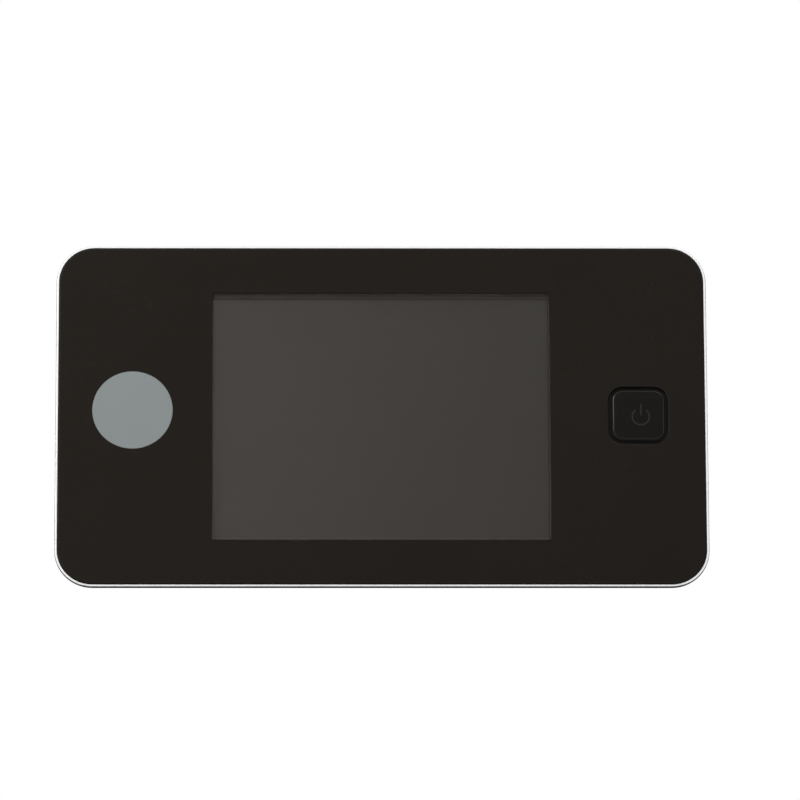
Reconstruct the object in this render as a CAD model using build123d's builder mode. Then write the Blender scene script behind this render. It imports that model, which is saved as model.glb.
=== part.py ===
from build123d import *

import os
from math import cos, radians, sin, tan

# Digital peephole viewer for a front door: an indoor display unit that hangs on a steel
# bracket, and an outdoor camera whose barrel passes through the door and is drawn tight
# by a clamp sleeve. Millimetres.
#
# X runs to the right as the unit is looked at from the room. Y runs through the door, from
# the room to the outside. Z is up. The origin is on the axis of the door's hole, at the
# door's inner face, so the unit lies at negative Y and the camera head past the door.

os.makedirs("parts", exist_ok=True)

# Driving dimensions

unit_width = 125.0
unit_height = 68.0
rim_radius = 7.3
rim_width = 0.5
door_thickness = 40.0

wall = 1.3
cover_draft = 17.0
slip_gap = 0.1
glue_gap = 0.05

# Levels along Y, from the door to the room: the bracket on the door, the sleeve's flange on it,
# the cover round both, and then the board, the display and the bezel one on another

pad_thickness = 0.8
plate_thickness = 1.2
recess_gap = 0.4
recess_wall = 1.2
sleeve_flange_thickness = 2.0
pocket_gap = 0.6
pocket_wall = 1.0
board_room = 3.7
board_thickness = 1.0
tray_thickness = 1.7
light_guide_thickness = 0.8
panel_glass_thickness = 1.1
gasket_thickness = 0.3
lens_flange_thickness = 0.6
bezel_thickness = 1.2
door_gap = 0.6
frame_depth = 1.8

back_y = -door_gap
floor_y = back_y - wall
plate_front_y = -pad_thickness - plate_thickness
recess_floor_y = plate_front_y - recess_gap
pocket_floor_y = plate_front_y - sleeve_flange_thickness - pocket_gap
board_back_y = pocket_floor_y - pocket_wall - board_room
board_front_y = board_back_y - board_thickness
tray_front_y = board_front_y - tray_thickness
guide_front_y = tray_front_y - light_guide_thickness
glass_front_y = guide_front_y - panel_glass_thickness
lens_back_y = glass_front_y - gasket_thickness
bezel_back_y = lens_back_y - lens_flange_thickness
front_y = bezel_back_y - bezel_thickness
parting_y = bezel_back_y + frame_depth

# Layout across the face, from the left edge to the right: the bay for two cells, the display,
# the key. The window follows the display, and the display lies between the other two.

cell_edge_margin = 9.9
cell_gap = 0.3
cell_slack = 0.35
bay_wall = 1.0
bay_floor_thickness = 0.9
bay_floor_gap = 1.3
bay_front_y = bezel_back_y + bay_floor_gap
bay_floor_y = bay_front_y + bay_floor_thickness
cell_radius = (floor_y - cell_slack - bay_floor_y - glue_gap) / 2
cell_y = bay_floor_y + glue_gap + cell_radius
cell_pitch = 2 * cell_radius + cell_gap
cell_left_x = cell_edge_margin - unit_width / 2
cell_right_x = cell_left_x + cell_pitch
bay_side_gap = 0.25
bay_right_x = cell_right_x + cell_radius + bay_side_gap

key_margin = 13.3
key_opening = 11.35
key_opening_radius = 2.7
key_opening_round = 0.25
key_flange = 0.85
key_x = unit_width / 2 - key_margin
key_z = 0.0

display_gap = 0.4
display_key_gap = 1.675
display_border_left = 2.7
display_border_right = 8.7
display_border_top = 2.28
display_border_bottom = 3.06
window_margin_top = 9.62
window_margin_bottom = 9.32
display_left_x = bay_right_x + bay_wall + display_gap
display_right_x = key_x - key_opening / 2 - key_flange - display_key_gap
display_width = display_right_x - display_left_x
display_x = (display_right_x + display_left_x) / 2
window_left_x = display_left_x + display_border_left
window_right_x = display_right_x - display_border_right
window_top_z = unit_height / 2 - window_margin_top
window_bottom_z = window_margin_bottom - unit_height / 2
window_width = window_right_x - window_left_x
window_height = window_top_z - window_bottom_z
window_x = (window_left_x + window_right_x) / 2
window_z = (window_top_z + window_bottom_z) / 2
display_top_z = window_top_z + display_border_top
display_bottom_z = window_bottom_z - display_border_bottom
display_height = display_top_z - display_bottom_z
display_z = (display_top_z + display_bottom_z) / 2


def room_plane(y):
    """A plane across the door's axis, with X to the right, Z up and its normal to the room."""
    return Plane.XZ.offset(-y)


def street_plane(y):
    """The plane at the same place with its normal to the outside, for outlines alike both ways up."""
    return Plane(origin=(0, y, 0), x_dir=(1, 0, 0), z_dir=(0, 1, 0))


def save(piece, name):
    """Label a finished piece and write it out under its own name."""
    piece.part.label = name
    export_step(piece.part, f"parts/{name}.step")


# Front bezel: the gloss black moulded face, with the window, the key's opening, a skirt that
# drops inside the frame, posts for the screws and ribs that hold the display in place.

panel_width = unit_width - 2 * rim_width
panel_height = unit_height - 2 * rim_width
panel_radius = rim_radius - rim_width
panel_edge_round = 0.35

window_chamfer = 0.15

badge_radius = 7.7
badge_margin = 14.75
badge_x = badge_margin - unit_width / 2
badge_z = 1.04
badge_thickness = 0.25
badge_recess = 0.2

frame_ledge = 0.75
frame_opening_width = panel_width - 2 * frame_ledge - 2 * rim_width
frame_opening_height = panel_height - 2 * frame_ledge - 2 * rim_width
frame_opening_radius = panel_radius - frame_ledge - rim_width

skirt_wall = 1.2
skirt_back_y = parting_y - slip_gap
skirt_width = frame_opening_width - 3 * slip_gap
skirt_height = frame_opening_height - 3 * slip_gap
skirt_radius = frame_opening_radius - 1.5 * slip_gap

case_screw_left_margin = 15.5
case_screw_right_margin = 12.5
case_screw_edge_margin = 5.8
case_screw_xs = (case_screw_left_margin - unit_width / 2, unit_width / 2 - case_screw_right_margin)
case_screw_z = unit_height / 2 - case_screw_edge_margin
case_screw_places = [(x, side * case_screw_z) for x in case_screw_xs for side in (-1, 1)]
case_post_radius = 1.8
well_depth = 6.4
well_floor_thickness = 1.6
well_floor_y = back_y - well_depth
case_post_end_y = well_floor_y - well_floor_thickness
pilot_radius = 0.85
pilot_depth = 5.0

lens_flange = 2.0
display_rib = 0.9
display_rib_depth = 2.6

board_edge_margin = 5.5
board_height_margin = 21.0
board_screw_inset = 2.4
board_screw_drop = 6.5
board_left_x = display_left_x + display_gap
board_right_x = unit_width / 2 - board_edge_margin
board_height = unit_height - board_height_margin
board_screw_x = board_right_x - board_screw_inset
board_screw_z = board_height / 2 - board_screw_drop
board_screw_places = [(board_screw_x, side * board_screw_z) for side in (-1, 1)]
board_post_radius = 2.0

with BuildPart() as front_bezel:
    with BuildSketch(room_plane(bezel_back_y)):
        RectangleRounded(panel_width, panel_height, panel_radius)
    extrude(amount=bezel_thickness)
    fillet(front_bezel.edges().group_by(Axis.Y)[0], panel_edge_round)
    with BuildSketch(room_plane(skirt_back_y)):
        RectangleRounded(skirt_width, skirt_height, skirt_radius)
        RectangleRounded(
            skirt_width - 2 * skirt_wall,
            skirt_height - 2 * skirt_wall,
            skirt_radius - skirt_wall,
            mode=Mode.SUBTRACT,
        )
    extrude(amount=skirt_back_y - bezel_back_y)
    # ribs above, below and to the right of the display
    with BuildSketch(room_plane(bezel_back_y + display_rib_depth)):
        for side in (-1, 1):
            with Locations((display_x, display_z + side * (display_height / 2 + slip_gap + display_rib / 2))):
                Rectangle(display_width - 2 * lens_flange, display_rib)
        with Locations((display_right_x + slip_gap + display_rib / 2, display_z + display_height / 4)):
            Rectangle(display_rib, display_height / 4)
    extrude(amount=display_rib_depth)
    with BuildSketch(room_plane(case_post_end_y)):
        with Locations(*case_screw_places):
            Circle(case_post_radius)
    extrude(amount=case_post_end_y - bezel_back_y)
    with BuildSketch(room_plane(board_front_y)):
        with Locations(*board_screw_places):
            Circle(board_post_radius)
    extrude(amount=board_front_y - bezel_back_y)
    with BuildSketch(room_plane(case_post_end_y)):
        with Locations(*case_screw_places):
            Circle(pilot_radius)
    extrude(amount=pilot_depth, mode=Mode.SUBTRACT)
    with BuildSketch(room_plane(board_front_y)):
        with Locations(*board_screw_places):
            Circle(pilot_radius)
    extrude(amount=(board_front_y - bezel_back_y) * 3 / 4, mode=Mode.SUBTRACT)
    # the window and the key's opening go right through
    with BuildSketch(room_plane(bezel_back_y)):
        with Locations((window_x, window_z)):
            Rectangle(window_width, window_height)
        with Locations((key_x, key_z)):
            RectangleRounded(key_opening, key_opening, key_opening_radius)
    extrude(amount=bezel_thickness, mode=Mode.SUBTRACT)
    with BuildSketch(room_plane(front_y + badge_recess)):
        with Locations((badge_x, badge_z)):
            Circle(badge_radius + glue_gap)
    extrude(amount=badge_recess, mode=Mode.SUBTRACT)
    face_edges = front_bezel.faces().sort_by(Axis.Y)[0].inner_wires().edges()
    window_edges = face_edges.filter_by(
        lambda edge: abs(edge.center().X - window_x) < (window_width + slip_gap) / 2
    )
    key_edges = face_edges.filter_by(lambda edge: abs(edge.center().X - key_x) < key_opening)
    chamfer(window_edges, window_chamfer)
    fillet(key_edges, key_opening_round)
save(front_bezel, "front_bezel")

# Display window: a clear moulded lens whose front sits flush in the bezel and whose flange is
# glued behind it.

with BuildPart() as display_window:
    with BuildSketch(room_plane(lens_back_y)):
        with Locations((window_x, window_z)):
            RectangleRounded(window_width + 2 * lens_flange, window_height + 2 * lens_flange, lens_flange)
    extrude(amount=lens_flange_thickness)
    with BuildSketch(room_plane(bezel_back_y)):
        with Locations((window_x, window_z)):
            Rectangle(window_width - 2 * glue_gap, window_height - 2 * glue_gap)
    extrude(amount=bezel_thickness)
    chamfer(display_window.faces().sort_by(Axis.Y)[0].edges(), window_chamfer)
save(display_window, "display_window")

# Badge disc: a thin plain disc glued in a shallow recess of the bezel.

with BuildPart() as badge_disc:
    with BuildSketch(room_plane(front_y + badge_recess)):
        with Locations((badge_x, badge_z)):
            Circle(badge_radius)
    extrude(amount=badge_thickness)
    fillet(badge_disc.faces().sort_by(Axis.Y)[0].edges(), badge_thickness / 4)
save(badge_disc, "badge_disc")

# Trim: the bright ring around the panel, plated plastic, resting on the frame's lip.

trim_setback = 0.1
trim_thickness = 0.3
trim_inset = 0.07
trim_round = 0.14
trim_back_y = front_y + trim_setback + trim_thickness

with BuildPart() as chrome_trim:
    with BuildSketch(room_plane(trim_back_y)):
        RectangleRounded(unit_width - 2 * trim_inset, unit_height - 2 * trim_inset, rim_radius - trim_inset)
    extrude(amount=trim_thickness)
    fillet(chrome_trim.edges().group_by(Axis.Y)[0], trim_round)
    with BuildSketch(room_plane(trim_back_y)):
        RectangleRounded(panel_width + 2 * glue_gap, panel_height + 2 * glue_gap, panel_radius + glue_gap)
    extrude(amount=trim_thickness, mode=Mode.SUBTRACT)
save(chrome_trim, "chrome_trim")

# Frame: the black ring between bezel and rear cover. Its lip goes round the panel's edge, tapers
# away behind it, and its ledge carries the panel in front and the cover behind.

lip_straight = 0.55
lip_taper_depth = 0.75
lip_taper = 15.0
ledge_outset = 0.3
lip_end_y = trim_back_y + lip_straight
lip_back_y = lip_end_y + lip_taper_depth

with BuildPart() as mid_frame:
    with BuildSketch(room_plane(lip_end_y)):
        RectangleRounded(unit_width, unit_height, rim_radius)
    extrude(amount=lip_straight)
    with BuildSketch(street_plane(lip_end_y)):
        RectangleRounded(unit_width, unit_height, rim_radius)
    extrude(amount=lip_taper_depth, taper=lip_taper)
    with BuildSketch(room_plane(parting_y)):
        RectangleRounded(
            panel_width - 2 * ledge_outset, panel_height - 2 * ledge_outset, panel_radius - ledge_outset
        )
    extrude(amount=parting_y - lip_back_y)
    with BuildSketch(room_plane(bezel_back_y)):
        RectangleRounded(panel_width + 2 * glue_gap, panel_height + 2 * glue_gap, panel_radius + glue_gap)
    extrude(amount=bezel_thickness, mode=Mode.SUBTRACT)
    with BuildSketch(room_plane(parting_y)):
        RectangleRounded(frame_opening_width, frame_opening_height, frame_opening_radius)
    extrude(amount=frame_depth, mode=Mode.SUBTRACT)
save(mid_frame, "mid_frame")

# Display stack behind the window: foam gasket, glass panel, light guide and its tray.

gasket_width = 1.6
gasket_inset = 0.3

with BuildPart() as display_gasket:
    with BuildSketch(room_plane(glass_front_y)):
        with Locations((window_x, window_z)):
            Rectangle(
                window_width + 2 * (lens_flange - gasket_inset),
                window_height + 2 * (lens_flange - gasket_inset),
            )
            Rectangle(
                window_width + 2 * (lens_flange - gasket_inset - gasket_width),
                window_height + 2 * (lens_flange - gasket_inset - gasket_width),
                mode=Mode.SUBTRACT,
            )
    extrude(amount=gasket_thickness)
save(display_gasket, "display_gasket")

# the glass is two plates, and the rear one runs on to the right, where the flex is bonded

glass_step = 3.2
rear_plate_share = 0.5

with BuildPart() as lcd_panel:
    with BuildSketch(room_plane(guide_front_y)):
        with Locations((display_x, display_z)):
            Rectangle(display_width, display_height)
    extrude(amount=panel_glass_thickness * rear_plate_share)
    with BuildSketch(room_plane(guide_front_y - panel_glass_thickness * rear_plate_share)):
        with Locations((display_x - glass_step / 2, display_z)):
            Rectangle(display_width - glass_step, display_height)
    extrude(amount=panel_glass_thickness * (1 - rear_plate_share))
save(lcd_panel, "lcd_panel")

tray_wall = 1.0

with BuildPart() as light_guide:
    with BuildSketch(room_plane(tray_front_y)):
        with Locations((display_x, display_z)):
            Rectangle(display_width - 2 * tray_wall - 2 * slip_gap, display_height - 2 * tray_wall - 2 * slip_gap)
    extrude(amount=light_guide_thickness)
save(light_guide, "light_guide")

with BuildPart() as backlight_tray:
    with BuildSketch(room_plane(board_front_y)):
        with Locations((display_x, display_z)):
            Rectangle(display_width, display_height)
    extrude(amount=board_front_y - guide_front_y)
    with BuildSketch(room_plane(tray_front_y)):
        with Locations((display_x, display_z)):
            Rectangle(display_width - 2 * tray_wall, display_height - 2 * tray_wall)
    extrude(amount=light_guide_thickness, mode=Mode.SUBTRACT)
save(backlight_tray, "backlight_tray")

# Power key: a square cap with rounded edges that stands a little proud of the panel, held by
# a flange behind it. It presses the plunger of a small push switch on the board.

key_gap = 0.675
key_size = key_opening - 2 * key_gap
key_radius = key_opening_radius - key_gap
key_edge_round = 0.45
key_proud = 0.3
key_flange_thickness = 0.8
key_flange_back_y = bezel_back_y + key_flange_thickness

with BuildPart() as power_button:
    with BuildSketch(room_plane(key_flange_back_y)):
        with Locations((key_x, key_z)):
            RectangleRounded(key_opening + 2 * key_flange, key_opening + 2 * key_flange, key_opening_radius)
    extrude(amount=key_flange_thickness)
    with BuildSketch(room_plane(bezel_back_y)):
        with Locations((key_x, key_z)):
            RectangleRounded(key_size, key_size, key_radius)
    extrude(amount=bezel_thickness + key_proud)
    fillet(power_button.faces().sort_by(Axis.Y)[0].edges(), key_edge_round)
save(power_button, "power_button")

switch_size = 6.0
switch_gap = 1.0
switch_height = board_front_y - key_flange_back_y - switch_gap
switch_bore_radius = 1.8
switch_bore_depth = 1.3
plunger_radius = switch_bore_radius - slip_gap
plunger_reach = 0.8
switch_front_y = board_front_y - switch_height
switch_rivet_radius = 0.35
switch_rivet_height = 0.2
switch_rivet_share = 0.36

with BuildPart() as tact_switch:
    with BuildSketch(room_plane(board_front_y)):
        with Locations((key_x, key_z)):
            Rectangle(switch_size, switch_size)
    extrude(amount=switch_height - switch_rivet_height)
    with BuildSketch(room_plane(switch_front_y + switch_rivet_height)):
        with Locations((key_x, key_z)):
            Circle(switch_bore_radius + 2 * switch_rivet_height)
            with GridLocations(
                2 * switch_size * switch_rivet_share, 2 * switch_size * switch_rivet_share, 2, 2
            ):
                Circle(switch_rivet_radius)
    extrude(amount=switch_rivet_height)
    with BuildSketch(room_plane(switch_front_y + switch_bore_depth)):
        with Locations((key_x, key_z)):
            Circle(switch_bore_radius)
    extrude(amount=switch_bore_depth, mode=Mode.SUBTRACT)
save(tact_switch, "tact_switch")

with BuildPart() as switch_plunger:
    with BuildSketch(room_plane(switch_front_y + plunger_reach)):
        with Locations((key_x, key_z)):
            Circle(plunger_radius)
    extrude(amount=switch_front_y + plunger_reach - key_flange_back_y)
save(switch_plunger, "switch_plunger")

# Main board, with the parts soldered to its back and the socket that takes the camera's ribbon.

board_corner = 2.0
board_x = (board_left_x + board_right_x) / 2
screw_shank_gap = 0.02
board_hole_radius = pilot_radius + slip_gap

with BuildPart() as main_board:
    with BuildSketch(room_plane(board_back_y)):
        with Locations((board_x, 0)):
            RectangleRounded(board_right_x - board_left_x, board_height, board_corner)
        with Locations(*board_screw_places):
            Circle(board_hole_radius, mode=Mode.SUBTRACT)
    extrude(amount=board_thickness)
save(main_board, "main_board")

# each chip: its place from the board's middle and its length and height, as shares of the board's
# length and height, and its thickness as a share of the tallest
chip_tallest = 1.3
chip_shares = [
    ((-0.38, 0.21), (0.098, 0.19), 0.77),
    ((-0.23, 0.35), (0.087, 0.13), 0.7),
    ((0.23, 0.26), (0.076, 0.15), 0.85),
    ((-0.38, -0.21), (0.054, 0.13), 0.92),
    ((0.25, -0.17), (0.044, 0.07), 0.85),
    ((0.36, 0.26), (0.054, 0.11), 1.0),
    ((0.38, -0.21), (0.07, 0.065), 0.92),
]

with BuildPart() as board_chips:
    for (share_x, share_z), (length_share, height_share), thickness_share in chip_shares:
        with BuildSketch(room_plane(board_back_y + chip_tallest * thickness_share)):
            with Locations((board_x + share_x * (board_right_x - board_left_x), share_z * board_height)):
                Rectangle(length_share * (board_right_x - board_left_x), height_share * board_height)
        extrude(amount=chip_tallest * thickness_share)
save(board_chips, "board_chips")

socket_length = 12.0
socket_width = 5.0
socket_height = 2.4
socket_wall = 0.8
socket_floor = 0.8

with BuildPart() as camera_socket:
    with BuildSketch(room_plane(board_back_y + socket_height)):
        Rectangle(socket_length, socket_width)
    extrude(amount=socket_height)
    with BuildSketch(room_plane(board_back_y + socket_height)):
        Rectangle(socket_length - 2 * socket_wall, socket_width - 2 * socket_wall)
    extrude(amount=socket_height - socket_floor, mode=Mode.SUBTRACT)
save(camera_socket, "camera_socket")

# The display's flex: a thin strip bonded to the rear glass plate, bent down to a socket on the
# board's front.

flex_width = 16.0
flex_z = display_z - display_height / 4
flex_thickness = 0.25
flex_bond = 2.0
flex_reach = 1.6
flex_socket_length = 3.0
flex_socket_height = 1.2
flex_socket_x = display_right_x + flex_reach + flex_socket_length / 2
flex_start_y = guide_front_y - panel_glass_thickness * rear_plate_share
flex_end_y = board_front_y - flex_socket_height

with BuildPart() as lcd_flex:
    with BuildSketch(Plane.XY.offset(flex_z - flex_width / 2)):
        with BuildLine():
            Polyline(
                (display_right_x - flex_bond, flex_start_y - flex_thickness),
                (display_right_x + flex_reach / 2, flex_start_y - flex_thickness),
                (flex_socket_x - flex_socket_length / 4, flex_end_y - flex_thickness),
                (flex_socket_x + flex_socket_length / 4, flex_end_y - flex_thickness),
                (flex_socket_x + flex_socket_length / 4, flex_end_y),
                (flex_socket_x - flex_socket_length / 4 - flex_thickness, flex_end_y),
                (display_right_x + flex_reach / 2 - flex_thickness, flex_start_y),
                (display_right_x - flex_bond, flex_start_y),
                close=True,
            )
        make_face()
    extrude(amount=flex_width)
save(lcd_flex, "lcd_flex")

with BuildPart() as flex_socket:
    with BuildSketch(room_plane(board_front_y)):
        with Locations((flex_socket_x, flex_z)):
            Rectangle(flex_socket_length, flex_width + 2 * socket_wall)
    extrude(amount=flex_socket_height)
save(flex_socket, "flex_socket")

# Rear cover: a drafted moulding. Its outer form is one block, and what the mould's core leaves
# hollow is a second block, from which bosses, ribs, the battery bay's walls and the recess for
# the bracket are cut away before it is taken out of the cover.

cover_inset = 0.25
cover_front_width = panel_width - 2 * ledge_outset - 2 * cover_inset
cover_front_height = panel_height - 2 * ledge_outset - 2 * cover_inset
cover_front_radius = panel_radius - ledge_outset - cover_inset
cover_back_round = 1.2
draft_slope = tan(radians(cover_draft))
side_wall = wall / cos(radians(cover_draft))

bay_end_margin = 8.7
bay_half_length = unit_height / 2 - bay_end_margin
bay_floor_left_x = -skirt_width / 2 + skirt_wall + 2 * slip_gap

door_end_seat = 1.0
door_side_seat = 0.6
door_half_width = bay_half_length - door_end_seat
door_right_x = bay_right_x + door_side_seat
door_tongue_width = 0.7
door_tongue_thickness = 0.6
door_tongue_y = floor_y - slip_gap

plate_side_margin = 34.5
plate_end_margin = 16.0
plate_width = unit_width - 2 * plate_side_margin
plate_height = unit_height - 2 * plate_end_margin
plate_corner = 3.0
lift_travel = 6.0
recess_width = plate_width + 2 * recess_gap
recess_top_z = plate_height / 2 + recess_gap
recess_bottom_z = -plate_height / 2 - lift_travel - recess_gap
recess_height = recess_top_z - recess_bottom_z
recess_z = (recess_top_z + recess_bottom_z) / 2

hook_side_margin = 8.0
hook_low_margin = 6.0
hook_high_margin = 10.0
hook_x = plate_width / 2 - hook_side_margin
hook_heights = (hook_low_margin - plate_height / 2, plate_height / 2 - hook_high_margin)
hook_width = 6.0
hook_stock = plate_thickness
hook_gap = 0.3
hook_free_drop = 1.6
hook_lip = lift_travel - hook_free_drop
hook_slot_height = lift_travel + hook_stock + 2 * hook_gap
hook_slot_drop = lift_travel / 2 - hook_stock / 2
hook_places = [(side * hook_x, z) for side in (-1, 1) for z in hook_heights]

sleeve_flange_radius = 10.0
pocket_radius = sleeve_flange_radius + pocket_gap
pocket_window_width = 14.0
pocket_window_height = 8.0

well_radius = 2.2
boss_radius = 2.9
rib_thickness = 1.0
rib_height = 2.4
rib_field_x = recess_width / 2 + recess_wall
rib_x_shares = (0.16, 0.42, 0.68)
rib_z_shares = (-0.55, 0.0, 0.55)


def drafted_block(width, height, radius, y_from, y_to):
    """A block with rounded corners whose four sides lean in towards the door."""
    with BuildPart() as block:
        with BuildSketch(street_plane(y_from)):
            RectangleRounded(width, height, radius)
        extrude(amount=y_to - y_from, taper=cover_draft)
    return block


outer_form = drafted_block(cover_front_width, cover_front_height, cover_front_radius, parting_y, back_y)
with BuildPart() as cover_form:
    add(outer_form.part)
    fillet(cover_form.faces().sort_by(Axis.Y)[-1].edges(), cover_back_round)

inner_form = drafted_block(
    cover_front_width - 2 * side_wall,
    cover_front_height - 2 * side_wall,
    cover_front_radius - side_wall,
    parting_y,
    floor_y,
)

# the hollow beside the bay: the inner form less everything that stands up in it
with BuildPart() as cover_core:
    add(inner_form.part)
    with BuildSketch(room_plane(floor_y)):
        with Locations((bay_right_x + bay_wall - panel_width / 2, 0)):
            Rectangle(panel_width, 2 * (bay_half_length + bay_wall))
    extrude(amount=floor_y - parting_y, mode=Mode.SUBTRACT)
    with BuildSketch(room_plane(floor_y)):
        with Locations(*case_screw_places):
            Circle(boss_radius)
    extrude(amount=floor_y - case_post_end_y, mode=Mode.SUBTRACT)
    with BuildSketch(room_plane(floor_y)):
        with Locations((0, recess_z)):
            Rectangle(recess_width + 2 * recess_wall, recess_height + 2 * recess_wall)
    extrude(amount=floor_y - recess_floor_y + recess_wall, mode=Mode.SUBTRACT)
    with BuildSketch(room_plane(floor_y)):
        with Locations((0, -lift_travel / 2)):
            SlotCenterToCenter(lift_travel, 2 * (pocket_radius + pocket_wall), rotation=90)
    extrude(amount=floor_y - pocket_floor_y + pocket_wall, mode=Mode.SUBTRACT)
    with BuildSketch(room_plane(floor_y)):
        for rib_share in rib_x_shares:
            with Locations((rib_field_x + rib_share * (panel_width / 2 - rib_field_x), 0)):
                Rectangle(rib_thickness, 2 * bay_half_length)
        for rib_share in rib_z_shares:
            with Locations((panel_width / 4 + recess_width / 4, rib_share * bay_half_length)):
                Rectangle(panel_width / 2 - recess_width / 2, rib_thickness)
    extrude(amount=rib_height, mode=Mode.SUBTRACT)

# the hollow of the bay: the inner form, carried forward to the bay's floor, within its walls
bay_form = drafted_block(
    cover_front_width - 2 * side_wall + 2 * bay_floor_thickness * draft_slope,
    cover_front_height - 2 * side_wall + 2 * bay_floor_thickness * draft_slope,
    cover_front_radius - side_wall + bay_floor_thickness * draft_slope,
    parting_y - bay_floor_thickness,
    floor_y,
)
with BuildPart() as bay_core:
    with BuildSketch(room_plane(floor_y)):
        with Locations((bay_right_x - panel_width / 4, 0)):
            Rectangle(panel_width / 2, 2 * bay_half_length)
    extrude(amount=floor_y - bay_floor_y)
    add(bay_form.part, mode=Mode.INTERSECT)

with BuildPart() as rear_cover:
    add(cover_form.part)
    with BuildSketch(room_plane(parting_y)):
        with Locations(((bay_floor_left_x + bay_right_x + bay_wall) / 2, 0)):
            Rectangle(bay_right_x + bay_wall - bay_floor_left_x, 2 * (bay_half_length + bay_wall))
    extrude(amount=parting_y - bay_front_y)
    add(cover_core.part, mode=Mode.SUBTRACT)
    add(bay_core.part, mode=Mode.SUBTRACT)
    # recess for the bracket, pocket for the sleeve's flange and the window to the socket
    with BuildSketch(room_plane(back_y)):
        with Locations((0, recess_z)):
            RectangleRounded(recess_width, recess_height, plate_corner)
    extrude(amount=back_y - recess_floor_y, mode=Mode.SUBTRACT)
    with BuildSketch(room_plane(back_y)):
        with Locations((0, -lift_travel / 2)):
            SlotCenterToCenter(lift_travel, 2 * pocket_radius, rotation=90)
    extrude(amount=back_y - pocket_floor_y, mode=Mode.SUBTRACT)
    with BuildSketch(room_plane(back_y)):
        Rectangle(pocket_window_width, pocket_window_height)
        for slot_x, hook_z in hook_places:
            with Locations((slot_x, hook_z - hook_slot_drop)):
                Rectangle(hook_width + 2 * hook_gap, hook_slot_height)
    extrude(amount=back_y - pocket_floor_y + 2 * pocket_wall, mode=Mode.SUBTRACT)
    # screw wells and the holes under them
    with BuildSketch(room_plane(back_y)):
        with Locations(*case_screw_places):
            Circle(well_radius)
    extrude(amount=back_y - well_floor_y, mode=Mode.SUBTRACT)
    with BuildSketch(room_plane(well_floor_y)):
        with Locations(*case_screw_places):
            Circle(pilot_radius + slip_gap)
    extrude(amount=well_floor_y - case_post_end_y, mode=Mode.SUBTRACT)
    # the battery door's seat, open to the left, with slots for its two tongues and its catch
    with BuildSketch(room_plane(back_y)):
        with Locations((door_right_x + 2 * slip_gap - panel_width / 4, 0)):
            Rectangle(panel_width / 2, 2 * (door_half_width + 2 * slip_gap))
    extrude(amount=wall, mode=Mode.SUBTRACT)
    with BuildSketch(room_plane(floor_y)):
        for side in (-1, 1):
            with Locations((cell_left_x - cell_pitch, side * door_half_width)):
                Rectangle(2 * cell_pitch, 2 * door_tongue_width + 2 * slip_gap)
            with Locations((bay_right_x + bay_wall / 2, side * door_half_width)):
                Rectangle(2 * bay_wall, 2 * door_tongue_width + 2 * slip_gap)
    extrude(amount=door_tongue_thickness + 2 * slip_gap, mode=Mode.SUBTRACT)
save(rear_cover, "rear_cover")

# Battery door: cut from the cover's own outer form, so that it follows its slope and rounding.
# Two tongues run under the cover's edges and end in prongs that go under it at the right. They
# pass beyond the cells' ends when the door is slid off.

grip_groove = 0.3
grip_pitch = 1.6
grip_length = 16.0
grip_x = cell_left_x - cell_radius / 2
prong_reach = 1.1
tongue_left_x = cell_left_x - cell_pitch / 2 + bay_wall
prong_right_x = door_right_x + prong_reach

with BuildPart() as battery_door:
    with BuildSketch(room_plane(back_y)):
        with Locations((door_right_x - panel_width / 4, 0)):
            Rectangle(panel_width / 2, 2 * door_half_width)
    extrude(amount=wall - slip_gap)
    add(cover_form.part, mode=Mode.INTERSECT)
    with BuildSketch(room_plane(floor_y + slip_gap)):
        for side in (-1, 1):
            with Locations(
                ((tongue_left_x + door_right_x) / 2, side * (door_half_width - door_tongue_width / 2))
            ):
                Rectangle(door_right_x - tongue_left_x, door_tongue_width)
    extrude(amount=2 * slip_gap)
    with BuildSketch(room_plane(door_tongue_y)):
        for side in (-1, 1):
            with Locations(((tongue_left_x + prong_right_x) / 2, side * door_half_width)):
                Rectangle(prong_right_x - tongue_left_x, 2 * door_tongue_width)
    extrude(amount=door_tongue_thickness)
    with BuildSketch(room_plane(back_y)):
        with Locations((grip_x, 0)):
            with GridLocations(grip_pitch, 0, 5, 1):
                SlotOverall(grip_length, grip_pitch / 2, rotation=90)
    extrude(amount=grip_groove, mode=Mode.SUBTRACT)
save(battery_door, "battery_door")

# Two AAA cells, one each way up, and the contacts at the ends of the bay.

cell_nub_radius = 1.9
cell_nub_height = 1.0
cell_edge_round = 0.5
contact_thickness = 0.4
contact_dimple = 0.6
dimple_radius = 2.0
dimple_taper = 30.0
contact_height = 8.4
contact_width = 8.0
spring_room = 4.7
contact_face = bay_half_length - contact_thickness
cell_end = contact_face - contact_dimple
cell_length = cell_end + contact_face - spring_room
cell_places = {"battery_cell_left": (cell_left_x, 1), "battery_cell_right": (cell_right_x, -1)}

for cell_name, (cell_x, up) in cell_places.items():
    with BuildPart() as battery_cell:
        with BuildSketch(Plane.XY.offset(up * cell_end)):
            with Locations((cell_x, cell_y)):
                Circle(cell_nub_radius)
        extrude(amount=-up * cell_nub_height)
        with BuildSketch(Plane.XY.offset(up * (cell_end - cell_nub_height))):
            with Locations((cell_x, cell_y)):
                Circle(cell_radius)
        extrude(amount=-up * (cell_length - cell_nub_height))
        fillet(
            battery_cell.edges().filter_by(
                lambda edge: edge.geom_type == GeomType.CIRCLE and edge.radius > 2 * cell_nub_radius
            ),
            cell_edge_round,
        )
    save(battery_cell, cell_name)


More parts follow.
